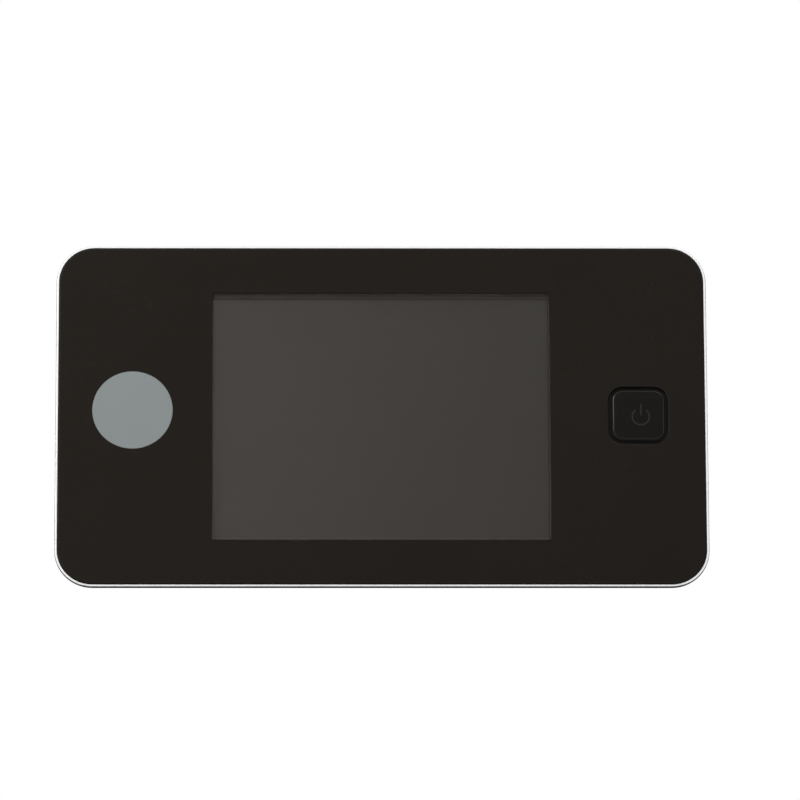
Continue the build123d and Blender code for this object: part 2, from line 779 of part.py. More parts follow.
def contact_plate(plate_name, end, centre_x, length, dimple_x):
    """A sprung-steel plate flat against one end wall of the bay, with a dimple for a cell's nub."""
    with BuildPart() as plate:
        with BuildSketch(Plane.XY.offset(end * contact_face)):
            with Locations((centre_x, cell_y)):
                Rectangle(length, contact_height)
        extrude(amount=end * contact_thickness)
        if dimple_x is not None:
            with BuildSketch(Plane.XY.offset(end * contact_face)):
                with Locations((dimple_x, cell_y)):
                    Circle(dimple_radius)
            extrude(amount=-end * contact_dimple, taper=dimple_taper)
    save(plate, plate_name)


contact_plate("contact_bridge", -1, (cell_left_x + cell_right_x) / 2, cell_pitch + contact_width, cell_right_x)
contact_plate("contact_positive", 1, cell_left_x, contact_width, cell_left_x)
contact_plate("contact_negative", 1, cell_right_x, contact_width, None)

# Contact springs: a cone of wire at each cell's flat end.

spring_wire = 0.6
spring_base_radius = 3.4
spring_tip_radius = 2.2
spring_turns = 4
full_turn = 360
cell_flat_end = cell_length - cell_end
spring_height = contact_face - cell_flat_end - spring_wire
spring_lean = (spring_base_radius - spring_tip_radius) / spring_height
spring_pitch = spring_height / spring_turns


def spring_cone(centre_x, end):
    """One coil from the plate to the cell's flat end."""
    start = end * (contact_face - spring_wire / 2)
    base = Plane(origin=(centre_x, cell_y, start), x_dir=(1, 0, 0), z_dir=(0, 0, -end))
    with BuildLine(base) as coil:
        for quarter in range(4 * spring_turns):
            arc_points = []
            for step in (0, 1, 2):
                turn = (quarter + step / 2) / 4
                radius = spring_base_radius - spring_lean * spring_pitch * turn
                angle = radians(full_turn * turn)
                arc_points.append((radius * cos(angle), radius * sin(angle), spring_pitch * turn))
            ThreePointArc(*arc_points)
    return coil


with BuildPart() as contact_springs:
    for centre_x, end in ((cell_left_x, -1), (cell_right_x, 1)):
        coil = spring_cone(centre_x, end)
        with BuildSketch(Plane(origin=coil.line @ 0, z_dir=coil.line % 0)):
            Circle(spring_wire / 2)
        sweep(path=coil.line)
save(contact_springs, "contact_springs")

# Screws: pan heads with a shank, four in the cover's wells and two through the board.

case_head_radius = 1.75
case_head_height = 1.3
board_head_radius = 1.6
board_head_height = 0.9
shank_radius = pilot_radius - screw_shank_gap
head_round = 0.5

with BuildPart() as case_screws:
    with BuildSketch(room_plane(well_floor_y + case_head_height)):
        with Locations(*case_screw_places):
            Circle(case_head_radius)
    extrude(amount=case_head_height)
    fillet(case_screws.edges().group_by(Axis.Y)[-1], head_round)
    with BuildSketch(room_plane(well_floor_y)):
        with Locations(*case_screw_places):
            Circle(shank_radius)
    extrude(amount=well_floor_y - case_post_end_y + pilot_depth - case_head_height)
save(case_screws, "case_screws")

with BuildPart() as board_screws:
    with BuildSketch(room_plane(board_back_y + board_head_height)):
        with Locations(*board_screw_places):
            Circle(board_head_radius)
    extrude(amount=board_head_height)
    fillet(board_screws.edges().group_by(Axis.Y)[-1], board_head_height / 2)
    with BuildSketch(room_plane(board_back_y)):
        with Locations(*board_screw_places):
            Circle(shank_radius)
    extrude(amount=board_thickness + (board_front_y - bezel_back_y) * 2 / 3)
save(board_screws, "board_screws")

# Mounting bracket: a steel plate with four hooks lanced out of it towards the room, a hole for
# the clamp sleeve and two for wood screws.

sleeve_radius = 5.95
sleeve_hole_radius = sleeve_radius + 0.25
wood_screw_margin = 6.0
wood_screw_x = plate_width / 2 - wood_screw_margin
wood_screw_radius = 2.1
hook_window_height = hook_lip + hook_stock - slip_gap
hook_bend_inner = 0.4
hook_throat = recess_gap + recess_wall + hook_gap
hook_neck_y = plate_front_y - hook_throat
hook_front_y = hook_neck_y - hook_stock

with BuildPart() as mounting_bracket:
    with BuildSketch(room_plane(-pad_thickness)):
        RectangleRounded(plate_width, plate_height, plate_corner)
        Circle(sleeve_hole_radius, mode=Mode.SUBTRACT)
        with Locations((-wood_screw_x, 0), (wood_screw_x, 0)):
            Circle(wood_screw_radius, mode=Mode.SUBTRACT)
        for place_x, hook_z in hook_places:
            with Locations((place_x, hook_z + hook_stock + hook_window_height / 2)):
                Rectangle(hook_width, hook_window_height, mode=Mode.SUBTRACT)
    extrude(amount=plate_thickness)
    for place_x, hook_z in hook_places:
        with BuildSketch(Plane.YZ.offset(place_x - hook_width / 2)):
            with BuildLine():
                Polyline(
                    (plate_front_y, hook_z),
                    (plate_front_y, hook_z + hook_stock),
                    (hook_neck_y, hook_z + hook_stock),
                    (hook_neck_y, hook_z + hook_lip),
                    (hook_front_y, hook_z + hook_lip),
                    (hook_front_y, hook_z),
                    close=True,
                )
            make_face()
            outer_corner = vertices().filter_by(
                lambda v: abs(v.Y - hook_front_y) + abs(v.Z - hook_z) < hook_bend_inner
            )
            fillet(outer_corner, hook_stock + hook_bend_inner)
        extrude(amount=hook_width)
save(mounting_bracket, "mounting_bracket")

# Foam pad between the bracket and the door.

pad_inset = 1.0
pad_hole_radius = 8.0

with BuildPart() as bracket_pad:
    with BuildSketch(room_plane(0)):
        RectangleRounded(plate_width - 2 * pad_inset, plate_height - 2 * pad_inset, plate_corner)
        Circle(pad_hole_radius, mode=Mode.SUBTRACT)
        with Locations((-wood_screw_x, 0), (wood_screw_x, 0)):
            Circle(wood_screw_radius + pad_inset / 2, mode=Mode.SUBTRACT)
    extrude(amount=pad_thickness)
save(bracket_pad, "bracket_pad")

# Clamp sleeve: a hollow bolt. Its flange bears on the bracket and its thread draws the camera's
# barrel towards the room. Two notches take a flat key.

sleeve_wall = 1.05
sleeve_bore_radius = sleeve_radius - sleeve_wall
sensor_depth = 6.0
sensor_board_y = door_thickness - sensor_depth
sensor_board_thickness = 0.8
ribbon_socket_height = 1.6
sleeve_end_gap = 3.6
sleeve_end_y = sensor_board_y - sensor_board_thickness - ribbon_socket_height - sleeve_end_gap
sleeve_length = sleeve_end_y - plate_front_y
sleeve_chamfer = 0.5
flange_front_y = plate_front_y - sleeve_flange_thickness
flange_round = 0.5
notch_width = 2.4
notch_depth = 2.6

with BuildPart() as clamp_sleeve:
    with BuildSketch(room_plane(plate_front_y)):
        Circle(sleeve_flange_radius)
    extrude(amount=sleeve_flange_thickness)
    fillet(clamp_sleeve.edges().group_by(Axis.Y)[0], flange_round)
    with BuildSketch(room_plane(plate_front_y)):
        Rectangle(2 * sleeve_flange_radius + notch_width, notch_width)
        Rectangle(2 * (sleeve_flange_radius - notch_depth), notch_width, mode=Mode.SUBTRACT)
    extrude(amount=sleeve_flange_thickness, mode=Mode.SUBTRACT)
    with BuildSketch(room_plane(sleeve_end_y)):
        Circle(sleeve_radius)
    extrude(amount=sleeve_length)
    chamfer(clamp_sleeve.edges().group_by(Axis.Y)[-1], sleeve_chamfer)
    with BuildSketch(room_plane(sleeve_end_y)):
        Circle(sleeve_bore_radius)
    extrude(amount=sleeve_length + sleeve_flange_thickness, mode=Mode.SUBTRACT)
save(clamp_sleeve, "clamp_sleeve")

# Camera barrel: a threaded tube through the door with a flange that covers the hole outside.

thread_gap = 0.05
barrel_bore_radius = sleeve_radius + thread_gap
barrel_wall = 1.0
barrel_radius = barrel_bore_radius + barrel_wall
barrel_start_y = 6.0
gasket_depth = 0.8
shoulder_step = 0.6
shoulder_radius = barrel_radius + shoulder_step
head_overlap = 4.9
head_radius = shoulder_radius + head_overlap
head_flange_thickness = 2.0
head_back_y = door_thickness + gasket_depth
shroud_back_y = head_back_y + head_flange_thickness
barrel_chamfer = 0.4

with BuildPart() as camera_barrel:
    with BuildSketch(Plane.XY):
        with BuildLine():
            Polyline(
                (barrel_bore_radius, barrel_start_y),
                (barrel_radius - barrel_chamfer, barrel_start_y),
                (barrel_radius, barrel_start_y + barrel_chamfer),
                (barrel_radius, door_thickness),
                (shoulder_radius, door_thickness),
                (shoulder_radius, head_back_y),
                (head_radius, head_back_y),
                (head_radius, shroud_back_y),
                (barrel_bore_radius, shroud_back_y),
                close=True,
            )
        make_face()
    revolve(axis=Axis.Y)
save(camera_barrel, "camera_barrel")

with BuildPart() as head_gasket:
    with BuildSketch(street_plane(door_thickness)):
        Circle(head_radius - slip_gap)
        Circle(shoulder_radius + slip_gap, mode=Mode.SUBTRACT)
    extrude(amount=gasket_depth)
save(head_gasket, "head_gasket")

# Head shroud: a domed metal cap round the lens, with a seat for the front glass.

shroud_depth = 7.0
shroud_land = 1.5
shroud_front_radius = 8.4
shroud_mouth_radius = 5.0
shroud_mouth_round = 0.6
glass_seat = 1.3
glass_radius = shroud_mouth_radius + glass_seat
shroud_bore_radius = glass_radius + slip_gap
glass_thickness = 1.2
mouth_lip = 1.2
seal_thickness = 0.4
shroud_front_y = shroud_back_y + shroud_depth
glass_out_y = shroud_front_y - mouth_lip - seal_thickness
glass_in_y = glass_out_y - glass_thickness

with BuildPart() as head_shroud:
    with BuildSketch(Plane.XY):
        with BuildLine():
            Line((shroud_bore_radius, shroud_back_y), (head_radius, shroud_back_y))
            Line((head_radius, shroud_back_y), (head_radius, shroud_back_y + shroud_land))
            dome = TangentArc(
                (head_radius, shroud_back_y + shroud_land),
                (shroud_front_radius, shroud_front_y),
                tangent=(0, 1),
            )
            Line(dome @ 1, (shroud_mouth_radius, shroud_front_y))
            Line((shroud_mouth_radius, shroud_front_y), (shroud_mouth_radius, shroud_front_y - mouth_lip))
            Line(
                (shroud_mouth_radius, shroud_front_y - mouth_lip),
                (shroud_bore_radius, shroud_front_y - mouth_lip),
            )
            Line((shroud_bore_radius, shroud_front_y - mouth_lip), (shroud_bore_radius, shroud_back_y))
        make_face()
    revolve(axis=Axis.Y)
    mouth_edge = head_shroud.faces().sort_by(Axis.Y)[-1].edges().sort_by(SortBy.RADIUS)[0]
    fillet(mouth_edge, shroud_mouth_round)
save(head_shroud, "head_shroud")

with BuildPart() as glass_seal:
    with BuildSketch(street_plane(glass_out_y)):
        Circle(glass_radius)
        Circle(shroud_mouth_radius, mode=Mode.SUBTRACT)
    extrude(amount=seal_thickness)
save(glass_seal, "glass_seal")

with BuildPart() as front_glass:
    with BuildSketch(street_plane(glass_in_y)):
        Circle(glass_radius)
    extrude(amount=glass_thickness)
save(front_glass, "front_glass")

# Camera inside the head: lens barrel with two glass elements, its holder, the sensor and its
# small round board, and the socket for the ribbon.

sensor_board_radius = barrel_bore_radius - slip_gap
sensor_size = 5.0
sensor_height = 0.7
holder_size_share = 1.39
holder_size = sensor_board_radius * holder_size_share
holder_height = 4.6
holder_wall = 0.9
holder_bore_radius = holder_size / 2 - holder_wall
holder_inner_size = sensor_size + 4 * slip_gap
holder_inner_height = sensor_height + 3 * slip_gap
lens_thread_radius = holder_bore_radius - thread_gap
lens_collar_gap = 1.4
lens_collar_radius = barrel_bore_radius - lens_collar_gap
lens_tube_wall = 0.95
lens_bore_radius = lens_thread_radius - lens_tube_wall
lens_seat_wall = 0.7
lens_seat_radius = lens_collar_radius - lens_seat_wall
lens_seat_depth = 1.6
lens_start_gap = 1.2
lens_start_y = sensor_board_y + sensor_height + lens_start_gap
lens_collar_y = sensor_board_y + holder_height + 3 * slip_gap
lens_end_y = glass_in_y - 3 * slip_gap
element_radius = lens_seat_radius - glue_gap
element_crown = 0.9
rear_element_radius = lens_bore_radius - glue_gap
rear_element_thickness = 1.4

with BuildPart() as sensor_board:
    with BuildSketch(street_plane(sensor_board_y - sensor_board_thickness)):
        Circle(sensor_board_radius)
    extrude(amount=sensor_board_thickness)
save(sensor_board, "sensor_board")

with BuildPart() as image_sensor:
    with BuildSketch(street_plane(sensor_board_y)):
        Rectangle(sensor_size, sensor_size)
    extrude(amount=sensor_height)
save(image_sensor, "image_sensor")

with BuildPart() as lens_holder:
    with BuildSketch(street_plane(sensor_board_y)):
        Rectangle(holder_size, holder_size)
    extrude(amount=holder_height)
    with BuildSketch(street_plane(sensor_board_y)):
        Rectangle(holder_inner_size, holder_inner_size)
    extrude(amount=holder_inner_height, mode=Mode.SUBTRACT)
    with BuildSketch(street_plane(sensor_board_y)):
        Circle(holder_bore_radius)
    extrude(amount=holder_height, mode=Mode.SUBTRACT)
save(lens_holder, "lens_holder")

with BuildPart() as lens_barrel:
    with BuildSketch(Plane.XY):
        with BuildLine():
            Polyline(
                (lens_bore_radius, lens_start_y),
                (lens_thread_radius, lens_start_y),
                (lens_thread_radius, lens_collar_y),
                (lens_collar_radius, lens_collar_y),
                (lens_collar_radius, lens_end_y),
                (lens_seat_radius, lens_end_y),
                (lens_seat_radius, lens_end_y - lens_seat_depth),
                (lens_bore_radius, lens_end_y - lens_seat_depth),
                close=True,
            )
        make_face()
    revolve(axis=Axis.Y)
save(lens_barrel, "lens_barrel")

with BuildPart() as front_element:
    with BuildSketch(Plane.XY):
        with BuildLine():
            Line((0, lens_end_y - lens_seat_depth), (element_radius, lens_end_y - lens_seat_depth))
            Line(
                (element_radius, lens_end_y - lens_seat_depth),
                (element_radius, lens_end_y - element_crown),
            )
            TangentArc((0, lens_end_y), (element_radius, lens_end_y - element_crown), tangent=(1, 0))
            Line((0, lens_end_y), (0, lens_end_y - lens_seat_depth))
        make_face()
    revolve(axis=Axis.Y)
save(front_element, "front_element")

with BuildPart() as rear_element:
    with BuildSketch(street_plane(lens_start_y)):
        Circle(rear_element_radius)
    extrude(amount=rear_element_thickness)
save(rear_element, "rear_element")

ribbon_socket_length = 7.0
ribbon_socket_width = 3.0

with BuildPart() as ribbon_socket:
    with BuildSketch(room_plane(sensor_board_y - sensor_board_thickness)):
        Rectangle(ribbon_socket_length, ribbon_socket_width)
    extrude(amount=ribbon_socket_height)
save(ribbon_socket, "ribbon_socket")
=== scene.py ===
from math import cos, pi, radians, sin

import bmesh
import bpy
from mathutils import Matrix, Vector


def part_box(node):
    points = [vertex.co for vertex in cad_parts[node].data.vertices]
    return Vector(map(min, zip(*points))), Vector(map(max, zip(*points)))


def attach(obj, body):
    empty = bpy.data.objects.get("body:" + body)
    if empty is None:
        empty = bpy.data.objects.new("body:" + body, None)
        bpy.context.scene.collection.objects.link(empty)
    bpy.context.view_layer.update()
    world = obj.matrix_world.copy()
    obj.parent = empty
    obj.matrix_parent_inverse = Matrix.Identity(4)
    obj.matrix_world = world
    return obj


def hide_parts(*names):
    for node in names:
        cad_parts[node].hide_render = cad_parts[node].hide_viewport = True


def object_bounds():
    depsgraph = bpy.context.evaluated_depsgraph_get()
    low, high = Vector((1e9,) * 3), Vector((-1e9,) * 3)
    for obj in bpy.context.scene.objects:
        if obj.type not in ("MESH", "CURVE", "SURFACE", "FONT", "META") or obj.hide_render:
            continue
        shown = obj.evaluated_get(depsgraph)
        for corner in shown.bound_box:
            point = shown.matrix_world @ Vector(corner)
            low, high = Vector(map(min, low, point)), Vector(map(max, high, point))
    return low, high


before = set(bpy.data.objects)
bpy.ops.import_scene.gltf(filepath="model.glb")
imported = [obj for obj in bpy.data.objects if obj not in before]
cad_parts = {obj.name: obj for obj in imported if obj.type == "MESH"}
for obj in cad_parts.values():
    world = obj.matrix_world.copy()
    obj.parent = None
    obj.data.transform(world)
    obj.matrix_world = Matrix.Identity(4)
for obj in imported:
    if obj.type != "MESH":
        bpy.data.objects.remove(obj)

cad_low, cad_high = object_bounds()

# The camera. The unit is seen from the room, square on and from below its middle, with a long
# lens, so that its lower edge shows the dark lip under the bright ring.

face_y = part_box("front_bezel")[0].y
view_azimuth = radians(-0.66)
view_elevation = radians(-16.1)
view_roll = radians(-0.164)
view_distance = 1.474

camera_data = bpy.data.cameras.new("camera")
camera_data.lens = 346.1
camera_data.shift_x = 0.02289
camera_data.shift_y = 0.01904
camera_data.clip_start = 0.05
camera_data.clip_end = 30
camera = bpy.data.objects.new("camera", camera_data)
bpy.context.scene.collection.objects.link(camera)
bpy.context.scene.camera = camera
towards = Vector((
    sin(view_azimuth) * cos(view_elevation),
    -cos(view_azimuth) * cos(view_elevation),
    sin(view_elevation),
))
turn = (-towards).to_track_quat("-Z", "Y").to_matrix() @ Matrix.Rotation(view_roll, 3, "Z")
stand = Vector((0, face_y, 0)) + view_distance * towards
camera.matrix_world = Matrix.Translation(stand) @ turn.to_4x4()
bpy.context.scene.view_settings.view_transform = "Standard"

# The studio: a white room, a pale table that the unit stands on and soft lamps. The room is
# plain white behind the unit, and dimmer in gloss and glass in front and beside the door.


class Signal:
    """A shader socket that can be added to, multiplied and so on; each step adds a Math node."""

    def __init__(self, tree, socket):
        self.tree = tree
        self.socket = socket

    def math(self, operation, first, second=None):
        made = self.tree.nodes.new("ShaderNodeMath")
        made.operation = operation
        for entry, value in zip(made.inputs, (first, second)):
            if isinstance(value, Signal):
                self.tree.links.new(value.socket, entry)
            elif value is not None:
                entry.default_value = value
        return Signal(self.tree, made.outputs[0])

    def __add__(self, other):
        return self.math("ADD", self, other)

    def __radd__(self, other):
        return self.math("ADD", other, self)

    def __sub__(self, other):
        return self.math("SUBTRACT", self, other)

    def __rsub__(self, other):
        return self.math("SUBTRACT", other, self)

    def __mul__(self, other):
        return self.math("MULTIPLY", self, other)

    def __rmul__(self, other):
        return self.math("MULTIPLY", other, self)

    def __truediv__(self, other):
        return self.math("DIVIDE", self, other)

    def __pow__(self, other):
        return self.math("POWER", self, other)

    def __gt__(self, other):
        return self.math("GREATER_THAN", self, other)

    def __lt__(self, other):
        return self.math("LESS_THAN", self, other)

    def __abs__(self):
        return self.math("ABSOLUTE", self)

    def least(self, other):
        return self.math("MINIMUM", self, other)

    def most(self, other):
        return self.math("MAXIMUM", self, other)

    def clipped(self):
        """The value, kept from 0 to 1."""
        return self.least(1).most(0)

    def wave(self, pitch):
        """A wave from -1 to 1 along a distance, with a pitch in metres."""
        return self.math("SINE", self * (2 * pi / pitch))


class Finish:
    """The nodes of one finish."""

    def __init__(self, name, owner=None):
        self.owner = owner or bpy.data.materials.new(name)
        self.owner.use_nodes = True
        self.tree = self.owner.node_tree
        self.tree.nodes.clear()

    def node(self, kind, settings=None, sockets=None, output=0):
        """A node of a kind, with its settings first and then the values or links of its sockets."""
        made = self.tree.nodes.new("ShaderNode" + kind)
        for name, value in (settings or {}).items():
            setattr(made, name, value)
        for name, value in (sockets or {}).items():
            entry = made.inputs[name]
            if isinstance(value, Signal):
                self.tree.links.new(value.socket, entry)
            elif entry.type == "RGBA":
                entry.default_value = (*value, 1)
            else:
                entry.default_value = value
        if made.outputs:
            return Signal(self.tree, made.outputs[output])

    def along(self, axis):
        """How far along X, Y or Z of the piece's own coordinates, in metres."""
        where = self.node("TexCoord", output="Object")
        return self.node("SeparateXYZ", sockets={"Vector": where}, output=axis)

    def from_line(self, **place):
        """How far from a line, in metres; the place names the two axes across it."""
        first, second = ((self.along(axis) - at) ** 2 for axis, at in place.items())
        return (first + second) ** 0.5

    def looked_at(self):
        """1 for what the camera sees, straight or in gloss and glass."""
        straight, in_gloss, in_glass = (
            self.node("LightPath", output=f"Is {ray} Ray") for ray in ("Camera", "Glossy", "Transmission")
        )
        return straight.most(in_gloss).most(in_glass)

    def grain(self, size, detail=2.0, rough=0.5, stretch=(1, 1, 1)):
        """Noise from 0 to 1 with spots of a size in metres, stretched along the axes."""
        where = self.node("TexCoord", output="Object")
        where = self.node("Mapping", sockets={"Vector": where, "Scale": stretch})
        return self.node("TexNoise", sockets={
            "Vector": where, "Scale": 1 / size, "Detail": detail, "Roughness": rough,
        })

    def blend(self, amount, first, second):
        """From one colour to another by an amount."""
        return self.node("Mix", {"data_type": "RGBA"}, {0: amount, 6: first, 7: second}, output=2)

    def relief(self, height, depth):
        """Bumps of a depth in metres, where the height goes from 0 to 1."""
        return self.node("Bump", sockets={"Height": height, "Strength": 1.0, "Distance": depth})

    def close(self, shader):
        """The finished material with a shader."""
        self.node("OutputMaterial", sockets={"Surface": shader})
        return self.owner

    def shader(self, **sockets):
        """A principled shader, whose sockets are named with underscores."""
        named = {name.replace("_", " "): value for name, value in sockets.items()}
        return self.node("BsdfPrincipled", sockets=named)

    def solid(self, **sockets):
        """The finished material with one principled shader."""
        return self.close(self.shader(**sockets))


room = Finish("room", bpy.data.worlds.new("room"))
bpy.context.scene.world = room.owner
to_camera = room.node("LightPath", output="Is Camera Ray")


def dimmed(way, inner, outer, strength):
    """The room's strength in gloss, dimmed round one way from an outer to an inner angle in degrees."""
    off_way = room.node("VectorMath", {"operation": "DOT_PRODUCT"}, {
        0: room.node("TexCoord", output="Generated"), 1: Vector(way).normalized(),
    }, output="Value")
    return room.node("MapRange", {"interpolation_type": "SMOOTHSTEP"}, {
        "Value": off_way, "From Min": cos(radians(outer)), "From Max": cos(radians(inner)),
        "To Min": 1.0, "To Max": strength,
    })


front_dimmed = dimmed(way=(0.34, -0.94, 0.02), inner=14, outer=42, strength=0.3)
door_dimmed = dimmed(way=(-0.80, 0.55, 0.22), inner=16, outer=52, strength=0.22)
shown_strength = front_dimmed.least(door_dimmed)
room_lit = room.node("Background", sockets={"Color": (0.97, 0.98, 1.0), "Strength": 0.62})
room_shown = room.node("Background", sockets={
    "Color": (1, 1, 1), "Strength": to_camera.most(shown_strength),
})
room_mix = room.node("MixShader", sockets={0: room.looked_at(), 1: room_lit, 2: room_shown})
room.node("OutputWorld", sockets={"Surface": room_mix})

table_gap = 0.0002
table_size = 6.0
table_shadow_reach = 0.22
table_white_reach = 0.8
table_z = cad_low.z - table_gap
table_shape = bmesh.new()
bmesh.ops.create_grid(table_shape, x_segments=1, y_segments=1, size=table_size)
bmesh.ops.translate(table_shape, verts=table_shape.verts, vec=(0, 0, table_z))
table_mesh = bpy.data.meshes.new("table")
table_shape.to_mesh(table_mesh)
table_shape.free()
table = bpy.data.objects.new("table", table_mesh)
bpy.context.scene.collection.objects.link(table)
table_finish = Finish("table_paint")
table_top = table_finish.node("BsdfPrincipled", sockets={
    "Base Color": (0.82, 0.82, 0.81), "Roughness": 0.9, "Specular IOR Level": 0.2,
})
table_fade = table_finish.node("MapRange", {"interpolation_type": "SMOOTHSTEP"}, {
    "Value": table_finish.from_line(X=0, Y=0),
    "From Min": table_shadow_reach,
    "From Max": table_white_reach,
})
table_top = table_finish.node("MixShader", sockets={
    0: table_finish.looked_at() * table_fade,
    1: table_top,
    2: table_finish.node("Emission", sockets={"Color": (1, 1, 1), "Strength": 1.0}),
})
table_mix = table_finish.node("MixShader", sockets={
    0: table_finish.node("NewGeometry", output="Backfacing"),
    1: table_top,
    2: table_finish.node("BsdfTransparent"),
})
table_mesh.materials.append(table_finish.close(table_mix))


def lamp(name, place, aim, width, height, power):
    """A soft rectangular lamp that looks from a place towards a point."""
    data = bpy.data.lights.new(name, "AREA")
    data.shape = "RECTANGLE"
    data.size = width
    data.size_y = height
    data.energy = power
    made = bpy.data.objects.new(name, data)
    bpy.context.scene.collection.objects.link(made)
    facing = (Vector(aim) - Vector(place)).to_track_quat("-Z", "Y").to_matrix().to_4x4()
    made.matrix_world = Matrix.Translation(place) @ facing


lamp("key_lamp", place=(-1.1, -0.6, 0.7), aim=(0, 0, 0), width=0.9, height=0.7, power=12)
lamp("fill_lamp", place=(0.6, -1.2, 1.3), aim=(0, 0, 0), width=0.8, height=0.6, power=3)
lamp("side_lamp", place=(1.4, 0.12, 0.1), aim=(0, 0, 0), width=0.7, height=0.7, power=2.5)
lamp("door_side_lamp", place=(0.5, 1.4, 0.9), aim=(0, 0.02, 0), width=0.9, height=0.9, power=9)

# Front bezel: the unit's face with its posts and ribs, moulded in black plastic. The face is
# polished; the inside is left as the mould's steel leaves it.

polish_depth = 0.00001
face_wave = 0.006
face_wave_depth = 0.0000012
dust_size = 0.0011
mould_skin = 0.0003
skin_depth = 0.000006


def polished_black(name, dark, pale, bare, where_bare, gloss=0.2, shine=0.36, warmth=(1.0, 0.87, 0.76)):
    """Black plastic, polished and warm in tone, and bare as moulded where it isn't polished."""
    look = Finish(name)
    wave = look.grain(face_wave, detail=1)
    clouds = look.grain(5 * face_wave)
    dust = look.grain(dust_size, detail=3) > 0.68
    skin = look.grain(mould_skin, detail=3)
    polished = look.shader(
        Base_Color=look.blend(clouds, dark, pale),
        Roughness=gloss + clouds * 0.05 + dust * 0.05,
        Specular_IOR_Level=shine,
        Specular_Tint=warmth,
        Normal=look.relief(wave, face_wave_depth),
    )
    unpolished = look.shader(
        Base_Color=look.blend(skin, bare, tuple(tone * 1.3 for tone in bare)),
        Roughness=0.56 + skin * 0.12,
        Specular_IOR_Level=0.15,
        Normal=look.relief(skin, skin_depth),
    )
    mixed = look.node("MixShader", sockets={0: where_bare(look), 1: polished, 2: unpolished})
    return look.close(mixed)


def wear(finish, *nodes):
    """Give CAD nodes a finish."""
    for node in nodes:
        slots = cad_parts[node].data.materials
        slots.clear()
        slots.append(finish)


def behind_face(look):
    """1 behind the polished face."""
    return look.along("Y") > face_y + polish_depth


bezel_dark = (0.0030, 0.0020, 0.0011)
bezel_pale = (0.0046, 0.0033, 0.0022)
bezel_bare = (0.0062, 0.0056, 0.0048)
wear(
    polished_black("bezel_black", bezel_dark, bezel_pale, bezel_bare, behind_face),
    "front_bezel",
)

# Trim ring: a thin plastic ring, plated bright, that rings the face. Its plating has the soft
# ripple and faint rubbing of vacuum metal on a moulding. Its back edge is greyed as painted
# shade, starting nearer its face along its underside, where the shade is deepest.

trim_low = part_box("chrome_trim")[0]
trim_width = 0.0004
back_shade_start_depth = 0.00006
back_shade_fade = 0.00002
underside_shade_share = 0.8
ripple_size = 0.004
ripple_depth = 0.000002
rub_size = 0.0007

bright = Finish("bright_plating")
# Painted shade: the ring goes grey towards its back edge, starting nearer the face along the underside.
underside = ((trim_low.z + trim_width - bright.along("Z")) / back_shade_start_depth).clipped()
unshaded_depth = back_shade_start_depth * (1 - underside * underside_shade_share)
painted_back_shade = ((bright.along("Y") - trim_low.y - unshaded_depth) / back_shade_fade).clipped()
bright_rub = bright.grain(rub_size, detail=4, stretch=(0.2, 1, 0.2))
bright_tone = bright.blend(bright_rub, (0.94, 0.94, 0.94), (0.98, 0.98, 0.98))
wear(
    bright.solid(
        Base_Color=bright.blend(painted_back_shade, bright_tone, (0.20, 0.20, 0.20)),
        Metallic=0.28,
        Roughness=0.30 + bright_rub * 0.10,
        Normal=bright.relief(bright.grain(ripple_size, detail=1), ripple_depth),
    ),
    "chrome_trim",
)

# Frame: the dark lip under the ring, moulded in black plastic with a fine spark-eroded skin.
# The bezel drops inside it and the rear cover closes on its ledge.

eroded_skin = 0.00018
eroded_skin_depth = 0.000008
cloud_size = 0.02


def eroded_black(name, dark, pale, skin=eroded_skin, depth=eroded_skin_depth, dullness=0.46, shine=0.4):
    """Black plastic with the fine even skin of a spark-eroded mould."""
    look = Finish(name)
    pits = look.grain(skin, detail=3, rough=0.6)
    clouds = look.grain(cloud_size)
    return look.solid(
        Base_Color=look.blend(pits * 0.6 + clouds * 0.4, dark, pale),
        Roughness=dullness + pits * 0.16,
        Specular_IOR_Level=shine,
        Normal=look.relief(pits, depth),
    )


frame_dark = (0.010, 0.010, 0.010)
frame_pale = (0.017, 0.016, 0.016)
wear(eroded_black("frame_black", frame_dark, frame_pale, dullness=0.54, shine=0.2), "mid_frame")

# Window: the clear lens over the display, cut from acrylic sheet. Its flange is glued behind the
# bezel's opening and its face is flush with the bezel's.

lens_wipe_size = 0.012

lens = Finish("clear_acrylic")
lens_wipe = lens.grain(lens_wipe_size, stretch=(1, 1, 0.4))
wear(
    lens.solid(
        Base_Color=(0.985, 0.98, 0.97),
        Roughness=lens_wipe * 0.006,
        IOR=1.42,
        Specular_Tint=(1.0, 0.87, 0.77),
        Transmission_Weight=1.0,
    ),
    "display_window",
)

# Display: two glass plates with a black printed border round the picture, on a dark polariser
# that is dull enough to smear a reflection. A foam gasket keeps the dust out.

picture_left_x = -0.0325
picture_right_x = 0.0319
picture_low_z = -0.02544
picture_high_z = 0.02350
picture_x = (picture_left_x + picture_right_x) / 2
picture_z = (picture_low_z + picture_high_z) / 2
picture_width = picture_right_x - picture_left_x
picture_height = picture_high_z - picture_low_z
glass_face_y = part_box("lcd_panel")[0].y
print_depth = 0.00001
border_painted_light_rise = 0.0013
left_painted_light_reach = 0.0012
haze_size = 0.02

